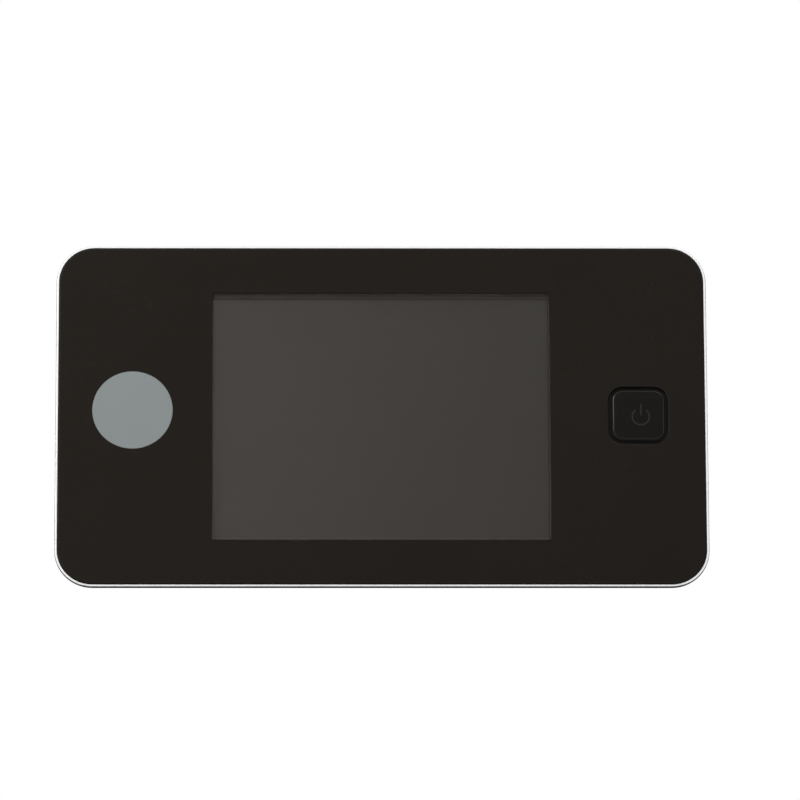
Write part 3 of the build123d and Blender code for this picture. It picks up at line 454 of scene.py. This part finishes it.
display = Finish("display_glass")
from_left = display.along("X") - picture_left_x
over_picture = display.along("Z") - picture_high_z
in_picture = (
    (abs(display.along("X") - picture_x) < picture_width / 2)
    * (abs(display.along("Z") - picture_z) < picture_height / 2)
    * (display.along("Y") < glass_face_y + print_depth)
)
haze = display.grain(haze_size, detail=1)
# Painted light: the picture is lighter at its left and darker towards its right.
picture_tone_and_painted_light = display.blend(
    from_left / picture_width, (0.0365, 0.0318, 0.0272), (0.0125, 0.0104, 0.0072)
)
# Painted light: the picture is paler within a little of its left edge, where the opening's wall shades it.
picture_tone_and_painted_light = display.blend(
    ((1 - from_left / left_painted_light_reach) * 0.5).most(0), picture_tone_and_painted_light, (0.096, 0.084, 0.072)
)
# Painted light: the printed black border is paler towards its top, where the bezel's overhang shades it.
border_tone_and_painted_light = display.blend(
    (over_picture / border_painted_light_rise).clipped(), (0.0030, 0.0026, 0.0020), (0.040, 0.036, 0.031)
)
picture_face = display.shader(
    Base_Color=picture_tone_and_painted_light, Roughness=0.42 + haze * 0.03, Specular_IOR_Level=0.5,
)
border_face = display.shader(
    Base_Color=border_tone_and_painted_light, Roughness=0.45 + haze * 0.03, Specular_IOR_Level=0.2,
)
display_face = display.node("MixShader", sockets={0: in_picture, 1: border_face, 2: picture_face})
wear(display.close(display_face), "lcd_panel")

pore_size = 0.00045
pore_depth = 0.00025

foam = Finish("cell_foam")
foam_pores = foam.node("TexVoronoi", {"feature": "DISTANCE_TO_EDGE"}, {
    "Vector": foam.node("TexCoord", output="Object"), "Scale": 1 / pore_size,
})
wear(
    foam.solid(
        Base_Color=foam.blend(foam_pores, (0.010, 0.010, 0.010), (0.030, 0.030, 0.031)),
        Roughness=0.92,
        Specular_IOR_Level=0.2,
        Normal=foam.relief(foam_pores, pore_depth),
    ),
    "display_gasket", "bracket_pad",
)

# Backlight: a clear light guide with rows of tiny printed dots, in a white moulded tray that
# throws the light forward.

dot_pitch = 0.0012
tray_skin_size = 0.0004

guide = Finish("printed_guide")
guide_dots = guide.along("X").wave(dot_pitch) * guide.along("Z").wave(dot_pitch) > 0.72
wear(
    guide.solid(
        Base_Color=guide.blend(guide_dots, (0.93, 0.95, 0.95), (0.98, 0.98, 0.96)),
        Roughness=0.06 + guide_dots * 0.5,
        IOR=1.45,
        Transmission_Weight=0.85,
    ),
    "light_guide",
)

tray = Finish("tray_white")
tray_skin = tray.grain(tray_skin_size, detail=3)
wear(
    tray.solid(
        Base_Color=tray.blend(tray_skin, (0.70, 0.70, 0.68), (0.78, 0.78, 0.76)),
        Roughness=0.42 + tray_skin * 0.12,
        Normal=tray.relief(tray_skin, skin_depth),
    ),
    "backlight_tray",
)

# Display cable: copper tracks between two amber films, bonded to the rear glass and bent down to
# a low socket with a dark latch and a row of tinned contacts.

track_pitch = 0.0005
track_depth = 0.00003
cable_margin = 0.0009
cable_low, cable_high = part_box("lcd_flex")
cable_middle_z = (cable_low.z + cable_high.z) / 2
tracked_half = (cable_high.z - cable_low.z) / 2 - cable_margin

cable = Finish("amber_film")
cable_tracks = (cable.along("Z").wave(track_pitch) > -0.1) * (
    abs(cable.along("Z") - cable_middle_z) < tracked_half
)
wear(
    cable.solid(
        Base_Color=cable.blend(cable_tracks, (0.16, 0.052, 0.008), (0.34, 0.135, 0.030)),
        Roughness=0.30 - cable_tracks * 0.06,
        Normal=cable.relief(cable_tracks, track_depth),
    ),
    "lcd_flex",
)

ivory_skin_size = 0.0005
contact_depth = 0.00004


def ivory_socket(name, node, pitch, axis, latch_from, latch_axis="X"):
    """Ivory nylon with tinned contacts at a pitch along an axis and a dark latch past a place."""
    look = Finish(name)
    pins = look.along(axis).wave(pitch) > 0.25
    latch = look.along(latch_axis) > latch_from
    skin = look.grain(ivory_skin_size, detail=3)
    body = look.blend(skin, (0.60, 0.55, 0.42), (0.68, 0.63, 0.50))
    housing = look.blend(latch, body, (0.020, 0.019, 0.018))
    bare = pins * (1 - latch)
    wear(
        look.solid(
            Base_Color=look.blend(bare, housing, (0.66, 0.65, 0.61)),
            Metallic=bare,
            Roughness=0.48 - bare * 0.22,
            Normal=look.relief(pins, contact_depth),
        ),
        node,
    )


body_share = 0.62
socket_low, socket_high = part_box("flex_socket")
latch_x = socket_low.x + (socket_high.x - socket_low.x) * body_share
ivory_socket("display_socket", "flex_socket", track_pitch, "Z", latch_x)

# Power key: a square cap with rounded edges and a flange behind that the bezel holds, moulded in
# black plastic. The mark is cut in its face: a ring open at the top, and an upright stroke.

mark_x = 0.04966
mark_z = -0.00032
mark_radius = 0.00164
mark_line = 0.00034
mark_depth = 0.00006
mark_opening = radians(76)
mark_steps = 44
stroke_low_z = -0.0001
stroke_high_z = 0.0022
merge_distance = 0.000002


def merged_copy(node):
    """A CAD node's loose triangles as one closed shape."""
    shape = bmesh.new()
    shape.from_mesh(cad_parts[node].data)
    bmesh.ops.remove_doubles(shape, verts=shape.verts, dist=merge_distance)
    return shape


def as_mesh(name, shape):
    """A mesh from a shape, with its faces turned outwards."""
    bmesh.ops.recalc_face_normals(shape, faces=shape.faces)
    mesh = bpy.data.meshes.new(name)
    shape.to_mesh(mesh)
    shape.free()
    return mesh


def cut(shape, tool):
    """A shape less a tool."""
    whole = bpy.data.objects.new("whole", as_mesh("whole", shape))
    cutter = bpy.data.objects.new("cutter", as_mesh("cutter", tool))
    for item in (whole, cutter):
        bpy.context.scene.collection.objects.link(item)
    boolean = whole.modifiers.new("cut", "BOOLEAN")
    boolean.operation = "DIFFERENCE"
    boolean.solver = "EXACT"
    boolean.object = cutter
    boolean.use_self = True
    ready = whole.evaluated_get(bpy.context.evaluated_depsgraph_get())
    made = bmesh.new()
    made.from_mesh(ready.data)
    for item in (whole, cutter):
        mesh = item.data
        bpy.data.objects.remove(item)
        bpy.data.meshes.remove(mesh)
    return made


def piece(name, shape, finish, body, *stands_for, slot=None, crease=radians(32)):
    """A finished piece: doubles merged, faces outwards, smooth except at creases."""
    bmesh.ops.remove_doubles(shape, verts=shape.verts, dist=merge_distance)
    for face in shape.faces:
        face.smooth = True
    for edge in shape.edges:
        edge.smooth = len(edge.link_faces) == 2 and edge.calc_face_angle(pi) < crease
    mesh = as_mesh(name, shape)
    mesh.materials.append(finish)
    made = bpy.data.objects.new(name, mesh)
    bpy.context.scene.collection.objects.link(made)
    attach(made, body)
    if stands_for:
        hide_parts(*stands_for)
    evened = made.modifiers.new("evened", "WEIGHTED_NORMAL")
    evened.keep_sharp = True
    return made


def block(shape, low, high):
    """A box between two corners, added to a shape; its vertices are returned."""
    low, high = Vector(low), Vector(high)
    made = bmesh.ops.create_cube(shape, size=1.0)["verts"]
    bmesh.ops.scale(shape, verts=made, vec=high - low)
    bmesh.ops.translate(shape, verts=made, vec=(low + high) / 2)
    return made


key_face_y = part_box("power_button")[0].y
mark_tool = bmesh.new()
over = mark_depth / 4
half_over = mark_line / 2 * (1 + over / mark_depth)


def vee(across_z, at_z):
    """The section of the cut, a vee that is open at the cap's face, across X or across Z."""
    corners = [(-half_over, -over), (half_over, -over), (0, mark_depth)]
    return mark_tool.faces.new([
        mark_tool.verts.new((
            mark_x + (0 if across_z else across), key_face_y + deep, at_z + (across if across_z else 0)
        ))
        for across, deep in corners
    ])


ring = vee(True, mark_z + mark_radius)
bmesh.ops.rotate(
    mark_tool, verts=ring.verts, cent=(mark_x, 0, mark_z), matrix=Matrix.Rotation(-mark_opening / 2, 3, "Y")
)
bmesh.ops.spin(
    mark_tool, geom=[*ring.verts, *ring.edges, ring], angle=mark_opening - 2 * pi, steps=mark_steps,
    axis=(0, 1, 0), cent=(mark_x, 0, mark_z),
)
stroke = bmesh.ops.extrude_face_region(mark_tool, geom=[vee(False, stroke_low_z)])["geom"]
bmesh.ops.translate(
    mark_tool, verts=[item for item in stroke if isinstance(item, bmesh.types.BMVert)],
    vec=(0, 0, stroke_high_z - stroke_low_z),
)

key_dark = (0.0042, 0.0038, 0.0032)
key_pale = (0.0056, 0.0051, 0.0045)
key_bare = (0.018, 0.017, 0.0155)


def behind_cap(look):
    """1 round the cap, behind the bezel's face, and in the cut mark."""
    in_mark = (abs(look.along("X") - mark_x) < 2 * mark_radius) * (
        abs(look.along("Z") - mark_z) < 2 * mark_radius
    )
    return behind_face(look).most(in_mark * (look.along("Y") > key_face_y + polish_depth))


piece(
    "power_key_cap",
    cut(merged_copy("power_button"), mark_tool),
    polished_black(
        "key_black", key_dark, key_pale, key_bare, behind_cap, gloss=0.15, shine=0.22,
        warmth=(1.0, 0.95, 0.88),
    ),
    "power_key",
    "power_button",
    slot="gloss_black",
    crease=radians(24),
)

# Switch: a plunger moulded in dull black nylon, and the push switch under it, a pressed steel can
# round a black base and knob.

wear(
    eroded_black("nylon_black", (0.010, 0.010, 0.010), (0.018, 0.018, 0.018), dullness=0.55),
    "switch_plunger", "lens_holder",
)

switch_low, switch_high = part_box("tact_switch")
switch_x = (switch_low.x + switch_high.x) / 2
switch_base_height = 0.0012
knob_radius = 0.0019
can_brush_size = 0.0002
brush_depth = 0.000004

can = Finish("switch_can")
knob = can.from_line(X=switch_x, Z=0) < knob_radius
black_part = knob.most(can.along("Y") > switch_high.y - switch_base_height)
can_brush = can.grain(can_brush_size, stretch=(1, 1, 0.05))
wear(
    can.solid(
        Base_Color=can.blend(black_part, (0.62, 0.61, 0.59), (0.014, 0.014, 0.014)),
        Metallic=1 - black_part,
        Roughness=0.26 + can_brush * 0.14 + black_part * 0.2,
        Normal=can.relief(can_brush, brush_depth),
    ),
    "tact_switch",
)

# Disc: a thin round plate, stamped from aluminium and painted plain satin grey with a fine
# sparkle in the paint. It is glued in its seat at the left of the face.

sparkle_size = 0.00012
sparkle_depth = 0.000003

disc = Finish("satin_grey")
disc_sparkle = disc.grain(sparkle_size, rough=0.7)
wear(
    disc.solid(
        Base_Color=disc.blend(disc_sparkle, (0.222, 0.243, 0.243), (0.250, 0.272, 0.272)),
        Roughness=0.42 + disc_sparkle * 0.14,
        Specular_IOR_Level=0.3,
        Normal=disc.relief(disc_sparkle, sparkle_depth),
    ),
    "badge_disc",
)

# Main board: fibreglass under a green mask, with copper tracks that show through it and gold
# pads. Black chips and small capacitors are soldered to its back, and a socket for the camera.

track_spacing = 0.0028
track_share = 0.09
island_size = 0.012
copper_depth = 0.00003
via_pitch = 0.0031
via_radius = 0.0004

board = Finish("green_board")
board_place = board.node("TexCoord", output="Object")
board_tracks = board.node("TexVoronoi", {"feature": "DISTANCE_TO_EDGE", "distance": "EUCLIDEAN"}, {
    "Vector": board_place, "Scale": 1 / track_spacing, "Randomness": 0.35,
}) < track_share
board_islands = board.grain(island_size, detail=0) > 0.53
board_vias = board.node("TexVoronoi", {"feature": "F1"}, {
    "Vector": board_place, "Scale": 1 / via_pitch, "Randomness": 0.9,
}) < via_radius / via_pitch
board_edge = abs(board.node("SeparateXYZ", sockets={
    "Vector": board.node("TexCoord", output="Normal"),
}, output="Y")) < 0.5
board_copper = board_tracks.most(board_islands)
board_mask = board.blend(board_copper, (0.006, 0.062, 0.022), (0.012, 0.120, 0.040))
board_face = board.blend(board_vias, board_mask, (0.80, 0.60, 0.26))
wear(
    board.solid(
        Base_Color=board.blend(board_edge, board_face, (0.42, 0.38, 0.20)),
        Metallic=board_vias * (1 - board_edge),
        Roughness=0.30 + board_edge * 0.4,
        Normal=board.relief(board_copper, copper_depth),
    ),
    "main_board", "sensor_board",
)

resin_skin_size = 0.00025

resin = Finish("chip_resin")
resin_skin = resin.grain(resin_skin_size, detail=3, rough=0.65)
resin_finish = resin.solid(
    Base_Color=resin.blend(resin_skin, (0.012, 0.012, 0.013), (0.024, 0.024, 0.025)),
    Roughness=0.50 + resin_skin * 0.18,
    Normal=resin.relief(resin_skin, skin_depth),
)
wear(resin_finish, "board_chips")

solder_skin_size = 0.0003

solder = Finish("tinned_metal")
solder_skin = solder.grain(solder_skin_size)
solder_finish = solder.solid(
    Base_Color=solder.blend(solder_skin, (0.60, 0.60, 0.59), (0.74, 0.74, 0.72)),
    Metallic=1.0,
    Roughness=0.24 + solder_skin * 0.16,
)

leg_pitch = 0.0008
leg_width = 0.00035
leg_reach = 0.0007
leg_foot = 0.0004
leg_thickness = 0.00015
leg_margin = 0.0005
square_crease = radians(20)


def loose_parts(shape):
    """The lowest and highest corners of each separate part of a shape."""
    waiting = set(shape.verts)
    found = []
    while waiting:
        grown = [waiting.pop()]
        for vert in grown:
            for edge in vert.link_edges:
                other = edge.other_vert(vert)
                if other in waiting:
                    waiting.remove(other)
                    grown.append(other)
        corners = [[getattr(vert.co, axis) for vert in grown] for axis in "xyz"]
        found.append((Vector(map(min, corners)), Vector(map(max, corners))))
    return sorted(found, key=lambda pair: pair[0][:])


chip_shape = merged_copy("board_chips")
chips = loose_parts(chip_shape)
chip_shape.free()
leg_shape = bmesh.new()
for low, high in chips:
    count = int((high.z - low.z - 2 * leg_margin) / leg_pitch)
    first_z = (low.z + high.z - (count - 1) * leg_pitch) / 2
    half_up = (low.y + high.y) / 2
    for index in range(count):
        leg_z = first_z + index * leg_pitch
        for edge_x, side in ((low.x, -1), (high.x, 1)):
            knee = edge_x + side * (leg_reach - leg_foot)
            foot = knee + side * leg_foot
            for start_x, end_x, low_y, high_y in (
                (edge_x, knee, half_up, half_up + leg_thickness),
                (knee - leg_thickness / 2, knee + leg_thickness / 2, low.y, half_up + leg_thickness),
                (knee, foot, low.y, low.y + leg_thickness),
            ):
                block(
                    leg_shape,
                    (min(start_x, end_x), low_y, leg_z - leg_width / 2),
                    (max(start_x, end_x), high_y, leg_z + leg_width / 2),
                )
piece("chip_legs", leg_shape, solder_finish, "unit", slot="switch_steel", crease=square_crease)

capacitor_length = 0.0016
capacitor_width = 0.0008
capacitor_height = 0.0008
capacitor_gap = 0.0008
capacitors_a_row = 4
cap_end = 0.0004
ceramic_skin_size = 0.0002

ceramic = Finish("chip_capacitors")
ceramic_skin = ceramic.grain(ceramic_skin_size)
capacitor_shape = bmesh.new()
end_shape = bmesh.new()
for low, high in chips:
    row_z = low.z - capacitor_gap - capacitor_length / 2
    for index in range(capacitors_a_row):
        row_x = low.x + capacitor_width / 2 + index * (capacitor_width + capacitor_gap)
        block(
            capacitor_shape,
            (row_x - capacitor_width / 2, low.y, row_z - capacitor_length / 2 + cap_end),
            (row_x + capacitor_width / 2, low.y + capacitor_height, row_z + capacitor_length / 2 - cap_end),
        )
        for side in (-1, 1):
            end_z = row_z + side * (capacitor_length - cap_end) / 2
            block(
                end_shape,
                (row_x - capacitor_width / 2, low.y, end_z - cap_end / 2),
                (row_x + capacitor_width / 2, low.y + capacitor_height, end_z + cap_end / 2),
            )
piece(
    "capacitors",
    capacitor_shape,
    ceramic.solid(
        Base_Color=ceramic.blend(ceramic_skin, (0.30, 0.20, 0.12), (0.38, 0.27, 0.17)),
        Roughness=0.42 + ceramic_skin * 0.1,
    ),
    "unit",
    slot="chip_black",
    crease=square_crease,
)
piece("capacitor_ends", end_shape, solder_finish, "unit", slot="switch_steel", crease=square_crease)

ribbon_pitch = 0.0010
pin_count = 9
pin_width = 0.0003
pin_head_room = 0.0007
pin_foot_room = 0.0004
gilt_skin_size = 0.0002
camera_socket_low, camera_socket_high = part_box("camera_socket")
ivory_socket("camera_socket_ivory", "camera_socket", ribbon_pitch, "X", camera_socket_high.y, "Y")
pin_shape = bmesh.new()
for index in range(pin_count):
    pin_x = (index - (pin_count - 1) / 2) * ribbon_pitch
    block(
        pin_shape,
        (pin_x - pin_width / 2, camera_socket_low.y + pin_foot_room, -pin_width),
        (pin_x + pin_width / 2, camera_socket_high.y - pin_head_room, pin_width),
    )
gilt = Finish("gilt_pins")
gilt_skin = gilt.grain(gilt_skin_size)
piece(
    "camera_socket_pins",
    pin_shape,
    gilt.solid(
        Base_Color=gilt.blend(gilt_skin, (0.78, 0.56, 0.22), (0.86, 0.66, 0.32)),
        Metallic=1.0,
        Roughness=0.22 + gilt_skin * 0.1,
    ),
    "unit",
    slot="nickel",
)

# Screws: small pan-head screws of plated steel. The long ones close the case from its wells in
# the back, the short ones hold the board, and each has a cross recess.

recess_depth_share = 0.6
recess_reach_share = 0.56
recess_wing = 0.0005
recess_taper_share = 0.5
steel_skin_size = 0.0005
case_head_height = 0.0013
case_head_radius = 0.00175
board_head_height = 0.0009
board_head_radius = 0.0016

steel = Finish("plated_screws")
steel_skin = steel.grain(steel_skin_size, detail=3)
steel_finish = steel.solid(
    Base_Color=steel.blend(steel_skin, (0.48, 0.48, 0.47), (0.62, 0.62, 0.61)),
    Metallic=1.0,
    Roughness=0.26 + steel_skin * 0.16,
    Normal=steel.relief(steel_skin, brush_depth),
)


def cross_recessed(node, name, head_height, head_radius):
    """Screws as the CAD has them, each with a cross recess cut in its head."""
    shape = merged_copy(node)
    tool = bmesh.new()
    head_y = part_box(node)[1].y
    deep = head_height * recess_depth_share
    reach = head_radius * recess_reach_share
    for low, high in loose_parts(shape):
        middle_x = (low.x + high.x) / 2
        middle_z = (low.z + high.z) / 2
        for wing_x, wing_z in ((reach, recess_wing / 2), (recess_wing / 2, reach)):
            verts = block(
                tool,
                (middle_x - wing_x, head_y - deep, middle_z - wing_z),
                (middle_x + wing_x, head_y + deep, middle_z + wing_z),
            )
            bottom = [vert for vert in verts if vert.co.y < head_y]
            bmesh.ops.scale(
                tool, verts=bottom, vec=(recess_taper_share, 1, recess_taper_share),
                space=Matrix.Translation((-middle_x, 0, -middle_z)),
            )
    piece(name, cut(shape, tool), steel_finish, "unit", node, slot="screw_steel")


cross_recessed("case_screws", "case_screw_set", case_head_height, case_head_radius)
cross_recessed("board_screws", "board_screw_set", board_head_height, board_head_radius)

# Rear cover and battery door: black mouldings with the same eroded skin, a little coarser and
# duller than the frame's. The door slides out of the cover's lower corner over the cells.

cover_skin = 0.00045
cover_skin_depth = 0.00005
for node, name, dark, pale in (
    ("rear_cover", "cover_black", (0.009, 0.009, 0.009), (0.021, 0.021, 0.020)),
    ("battery_door", "door_black", (0.010, 0.010, 0.010), (0.023, 0.023, 0.022)),
):
    wear(eroded_black(name, dark, pale, skin=cover_skin, depth=cover_skin_depth), node)

# Cells: two AAA cells, each a nickelled can in a printed plastic jacket, slate blue with a bare
# metal band at its raised end and a plus sign in it. They lie in the bay head to tail.

jacket_margin = 0.0006
raised_share = 0.035
band_share = 0.22
line_from_band = 0.0014
line_width = 0.0005
plus_reach = 0.0013
plus_line = 0.0005
scuff_size = 0.0009


def cell(node, up):
    """A cell's finish: jacket, band and bare ends; up is 1 where the raised end is on top."""
    low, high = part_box(node)
    axis_x = (low.x + high.x) / 2
    axis_y = (low.y + high.y) / 2
    radius = (high.x - low.x) / 2
    length = high.z - low.z
    raised_z = high.z if up > 0 else low.z
    look = Finish(node + "_jacket")
    from_raised = abs(look.along("Z") - raised_z)
    jacket = (
        (look.from_line(X=axis_x, Y=axis_y) > radius - jacket_margin)
        * (from_raised > length * raised_share)
        * (from_raised < length - jacket_margin / 2)
    )
    band_end = length * band_share
    band = (from_raised < band_end).most(abs(from_raised - band_end - line_from_band) < line_width / 2)
    plus_x = abs(look.along("X") - axis_x)
    plus_z = abs(from_raised - band_end / 2)
    plus = ((plus_x < plus_line / 2) * (plus_z < plus_reach)).most(
        (plus_x < plus_reach) * (plus_z < plus_line / 2)
    ) * (look.along("Y") > axis_y)
    scuff = look.grain(scuff_size, detail=4, rough=0.65, stretch=(1, 1, 0.3))
    band_tone = look.blend(plus, (0.62, 0.62, 0.60), (0.014, 0.026, 0.060))
    jacket_tone = look.blend(scuff, (0.016, 0.040, 0.085), (0.022, 0.050, 0.100))
    printed = look.blend(band, jacket_tone, band_tone)
    bare = 1 - jacket
    wear(
        look.solid(
            Base_Color=look.blend(bare, printed, (0.66, 0.65, 0.62)),
            Metallic=bare.most(band * 0.9 * (1 - plus)),
            Roughness=0.24 + scuff * 0.16,
            Normal=look.relief(scuff, brush_depth),
        ),
        node,
    )


cell("battery_cell_left", up=1)
cell("battery_cell_right", up=-1)

# Contacts: nickelled spring steel. Plates are pressed from strip and pushed into slots in the
# bay's end walls, and the cone springs are wound from wire.

nickel_skin_size = 0.0006
nickel_skin_depth = 0.000005

nickel = Finish("nickelled_steel")
nickel_skin = nickel.grain(nickel_skin_size, detail=3)
wear(
    nickel.solid(
        Base_Color=nickel.blend(nickel_skin, (0.60, 0.58, 0.54), (0.72, 0.70, 0.66)),
        Metallic=1.0,
        Roughness=0.22 + nickel_skin * 0.16,
        Normal=nickel.relief(nickel_skin, nickel_skin_depth),
    ),
    "contact_bridge", "contact_positive", "contact_negative", "contact_springs",
)

# Bracket: sheet steel with four pressed hooks, zinc plated and brushed along its length. It is
# screwed to the door over the hole, with a foam pad behind it.

zinc_brush_size = 0.00022
zinc_brush_depth = 0.00001
spangle_size = 0.008

zinc = Finish("brushed_zinc")
zinc_brush = zinc.grain(zinc_brush_size, detail=4, rough=0.7, stretch=(0.04, 1, 1))
zinc_mix = zinc.grain(spangle_size) * 0.5 + zinc_brush * 0.5
wear(
    zinc.solid(
        Base_Color=zinc.blend(zinc_mix, (0.46, 0.46, 0.45), (0.66, 0.66, 0.65)),
        Metallic=1.0,
        Roughness=0.26 + zinc_brush * 0.20,
        Normal=zinc.relief(zinc_brush, zinc_brush_depth),
    ),
    "mounting_bracket",
)

# Clamp sleeve: a turned tube with a slotted flange. Its thread is cut along the tube to the
# flange and screws into the camera's barrel from inside the door.

thread_pitch = 0.001
thread_depth = 0.0005
thread_clear = 0.00004
thread_relief = 0.0015
steps_a_turn = 40
off_the_facets = radians(1.3)
tube_radius = 0.00595
flange_back_y = -0.002
first_turn_y = flange_back_y + thread_relief
turns = int((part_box("clamp_sleeve")[1].y - first_turn_y) / thread_pitch) + 1
groove_half = thread_pitch / 2 - thread_clear
over_radius = tube_radius + thread_clear

thread_tool = bmesh.new()
thread_tool.faces.new([
    thread_tool.verts.new(point) for point in (
        (over_radius, -groove_half, 0), (over_radius, groove_half, 0), (tube_radius - thread_depth, 0, 0),
    )
])
bmesh.ops.translate(thread_tool, verts=thread_tool.verts, vec=(0, first_turn_y, 0))
bmesh.ops.rotate(
    thread_tool, verts=thread_tool.verts, cent=(0, 0, 0), matrix=Matrix.Rotation(off_the_facets, 3, "Y")
)
bmesh.ops.spin(
    thread_tool, geom=thread_tool.verts[:] + thread_tool.edges[:] + thread_tool.faces[:],
    angle=2 * pi * turns, steps=steps_a_turn * turns, axis=(0, 1, 0), cent=(0, 0, 0),
    dvec=(0, thread_pitch / steps_a_turn, 0),
)

sleeve_rings = 0.00012
ring_depth = 0.000004
wipe_size = 0.004


def turned(name, dark, pale, fineness, dull=0.22):
    """Metal turned on a lathe about the barrel's axis, with fine rings all round."""
    look = Finish(name)
    ring_place = look.node("CombineXYZ", sockets={"X": look.from_line(X=0, Z=0) + look.along("Y")})
    rings = look.node("TexNoise", sockets={"Vector": ring_place, "Scale": 1 / fineness, "Detail": 3.0})
    wipe = look.grain(wipe_size)
    return look.solid(
        Base_Color=look.blend(rings * 0.6 + wipe * 0.4, dark, pale),
        Metallic=1.0,
        Roughness=dull + rings * 0.14 + wipe * 0.06,
        Normal=look.relief(rings, ring_depth),
    )


piece(
    "threaded_sleeve",
    cut(merged_copy("clamp_sleeve"), thread_tool),
    turned("turned_sleeve", (0.50, 0.49, 0.46), (0.66, 0.65, 0.61), sleeve_rings),
    "sleeve",
    "clamp_sleeve",
    slot="sleeve_metal",
)

# Camera barrel: turned from the same metal and satin plated, with a flange that a rubber ring
# seals to the door's outer face.

barrel_rings = 0.0002
barrel_dark = (0.52, 0.52, 0.51)
barrel_pale = (0.68, 0.68, 0.67)
wear(turned("satin_barrel", barrel_dark, barrel_pale, barrel_rings, dull=0.28), "camera_barrel")

rubber_skin_size = 0.0005
rubber_skin_depth = 0.00001

rubber = Finish("black_rubber")
rubber_skin = rubber.grain(rubber_skin_size, detail=3, rough=0.6)
wear(
    rubber.solid(
        Base_Color=rubber.blend(rubber_skin, (0.012, 0.012, 0.012), (0.024, 0.024, 0.024)),
        Roughness=0.66 + rubber_skin * 0.16,
        Specular_IOR_Level=0.35,
        Normal=rubber.relief(rubber_skin, rubber_skin_depth),
    ),
    "head_gasket", "glass_seal",
)

# Camera head: a domed shroud, turned from the same metal and satin plated, that closes over a
# thick front glass on a rubber seal.

shroud_rings = 0.00016
pane_wipe_size = 0.002
wear(turned("satin_shroud", (0.50, 0.50, 0.49), (0.64, 0.64, 0.63), shroud_rings), "head_shroud")

front_pane = Finish("front_pane")
pane_wipe = front_pane.grain(pane_wipe_size)
wear(
    front_pane.solid(
        Base_Color=(0.97, 0.98, 0.98), Roughness=0.005 + pane_wipe * 0.01, IOR=1.45,
        Transmission_Weight=1.0,
    ),
    "front_glass",
)

# Lens: a wide-angle lens in a black turned barrel. Its glass elements are coated, which tints
# their reflections, and a dull black holder carries the barrel over the sensor.

lens_thread_pitch = 0.0003
lens_thread_depth = 0.00003
coating_size = 0.0015

anodised = Finish("black_anodised")
round_barrel = anodised.from_line(X=0, Z=0) + anodised.along("Y")
lens_thread = round_barrel.wave(lens_thread_pitch) * 0.5 + 0.5
wear(
    anodised.solid(
        Base_Color=anodised.blend(lens_thread, (0.008, 0.008, 0.009), (0.018, 0.018, 0.019)),
        Roughness=0.38 + lens_thread * 0.12,
        Normal=anodised.relief(lens_thread, lens_thread_depth),
    ),
    "lens_barrel",
)

coated = Finish("coated_glass")
coated_wipe = coated.grain(coating_size)
wear(
    coated.solid(
        Base_Color=(0.96, 0.97, 1.0), Roughness=0.004 + coated_wipe * 0.008, IOR=1.58,
        Specular_Tint=(0.45, 0.62, 1.0), Transmission_Weight=1.0,
    ),
    "front_element", "rear_element",
)

# Sensor: a glass-topped chip, dark violet in its live area with a gilt rim of bond wires, and
# the socket behind its round board for the ribbon to the unit.

live_half = 0.0018
wire_pitch = 0.0003

sensor = Finish("image_sensor")
live = (abs(sensor.along("X")) < live_half) * (abs(sensor.along("Z")) < live_half)
wires = (sensor.along("X") + sensor.along("Z")).wave(wire_pitch) > 0.2
sensor_rim = sensor.blend(wires, (0.020, 0.026, 0.024), (0.55, 0.42, 0.18))
wear(
    sensor.solid(
        Base_Color=sensor.blend(live, sensor_rim, (0.020, 0.016, 0.042)),
        Metallic=0.5 - live * 0.2,
        Roughness=0.20 - live * 0.08,
        Coat_Weight=live * 0.8,
    ),
    "image_sensor",
)
ribbon_socket_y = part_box("ribbon_socket")[1].y
ivory_socket("ribbon_socket_ivory", "ribbon_socket", ribbon_pitch / 2, "X", ribbon_socket_y, "Y")
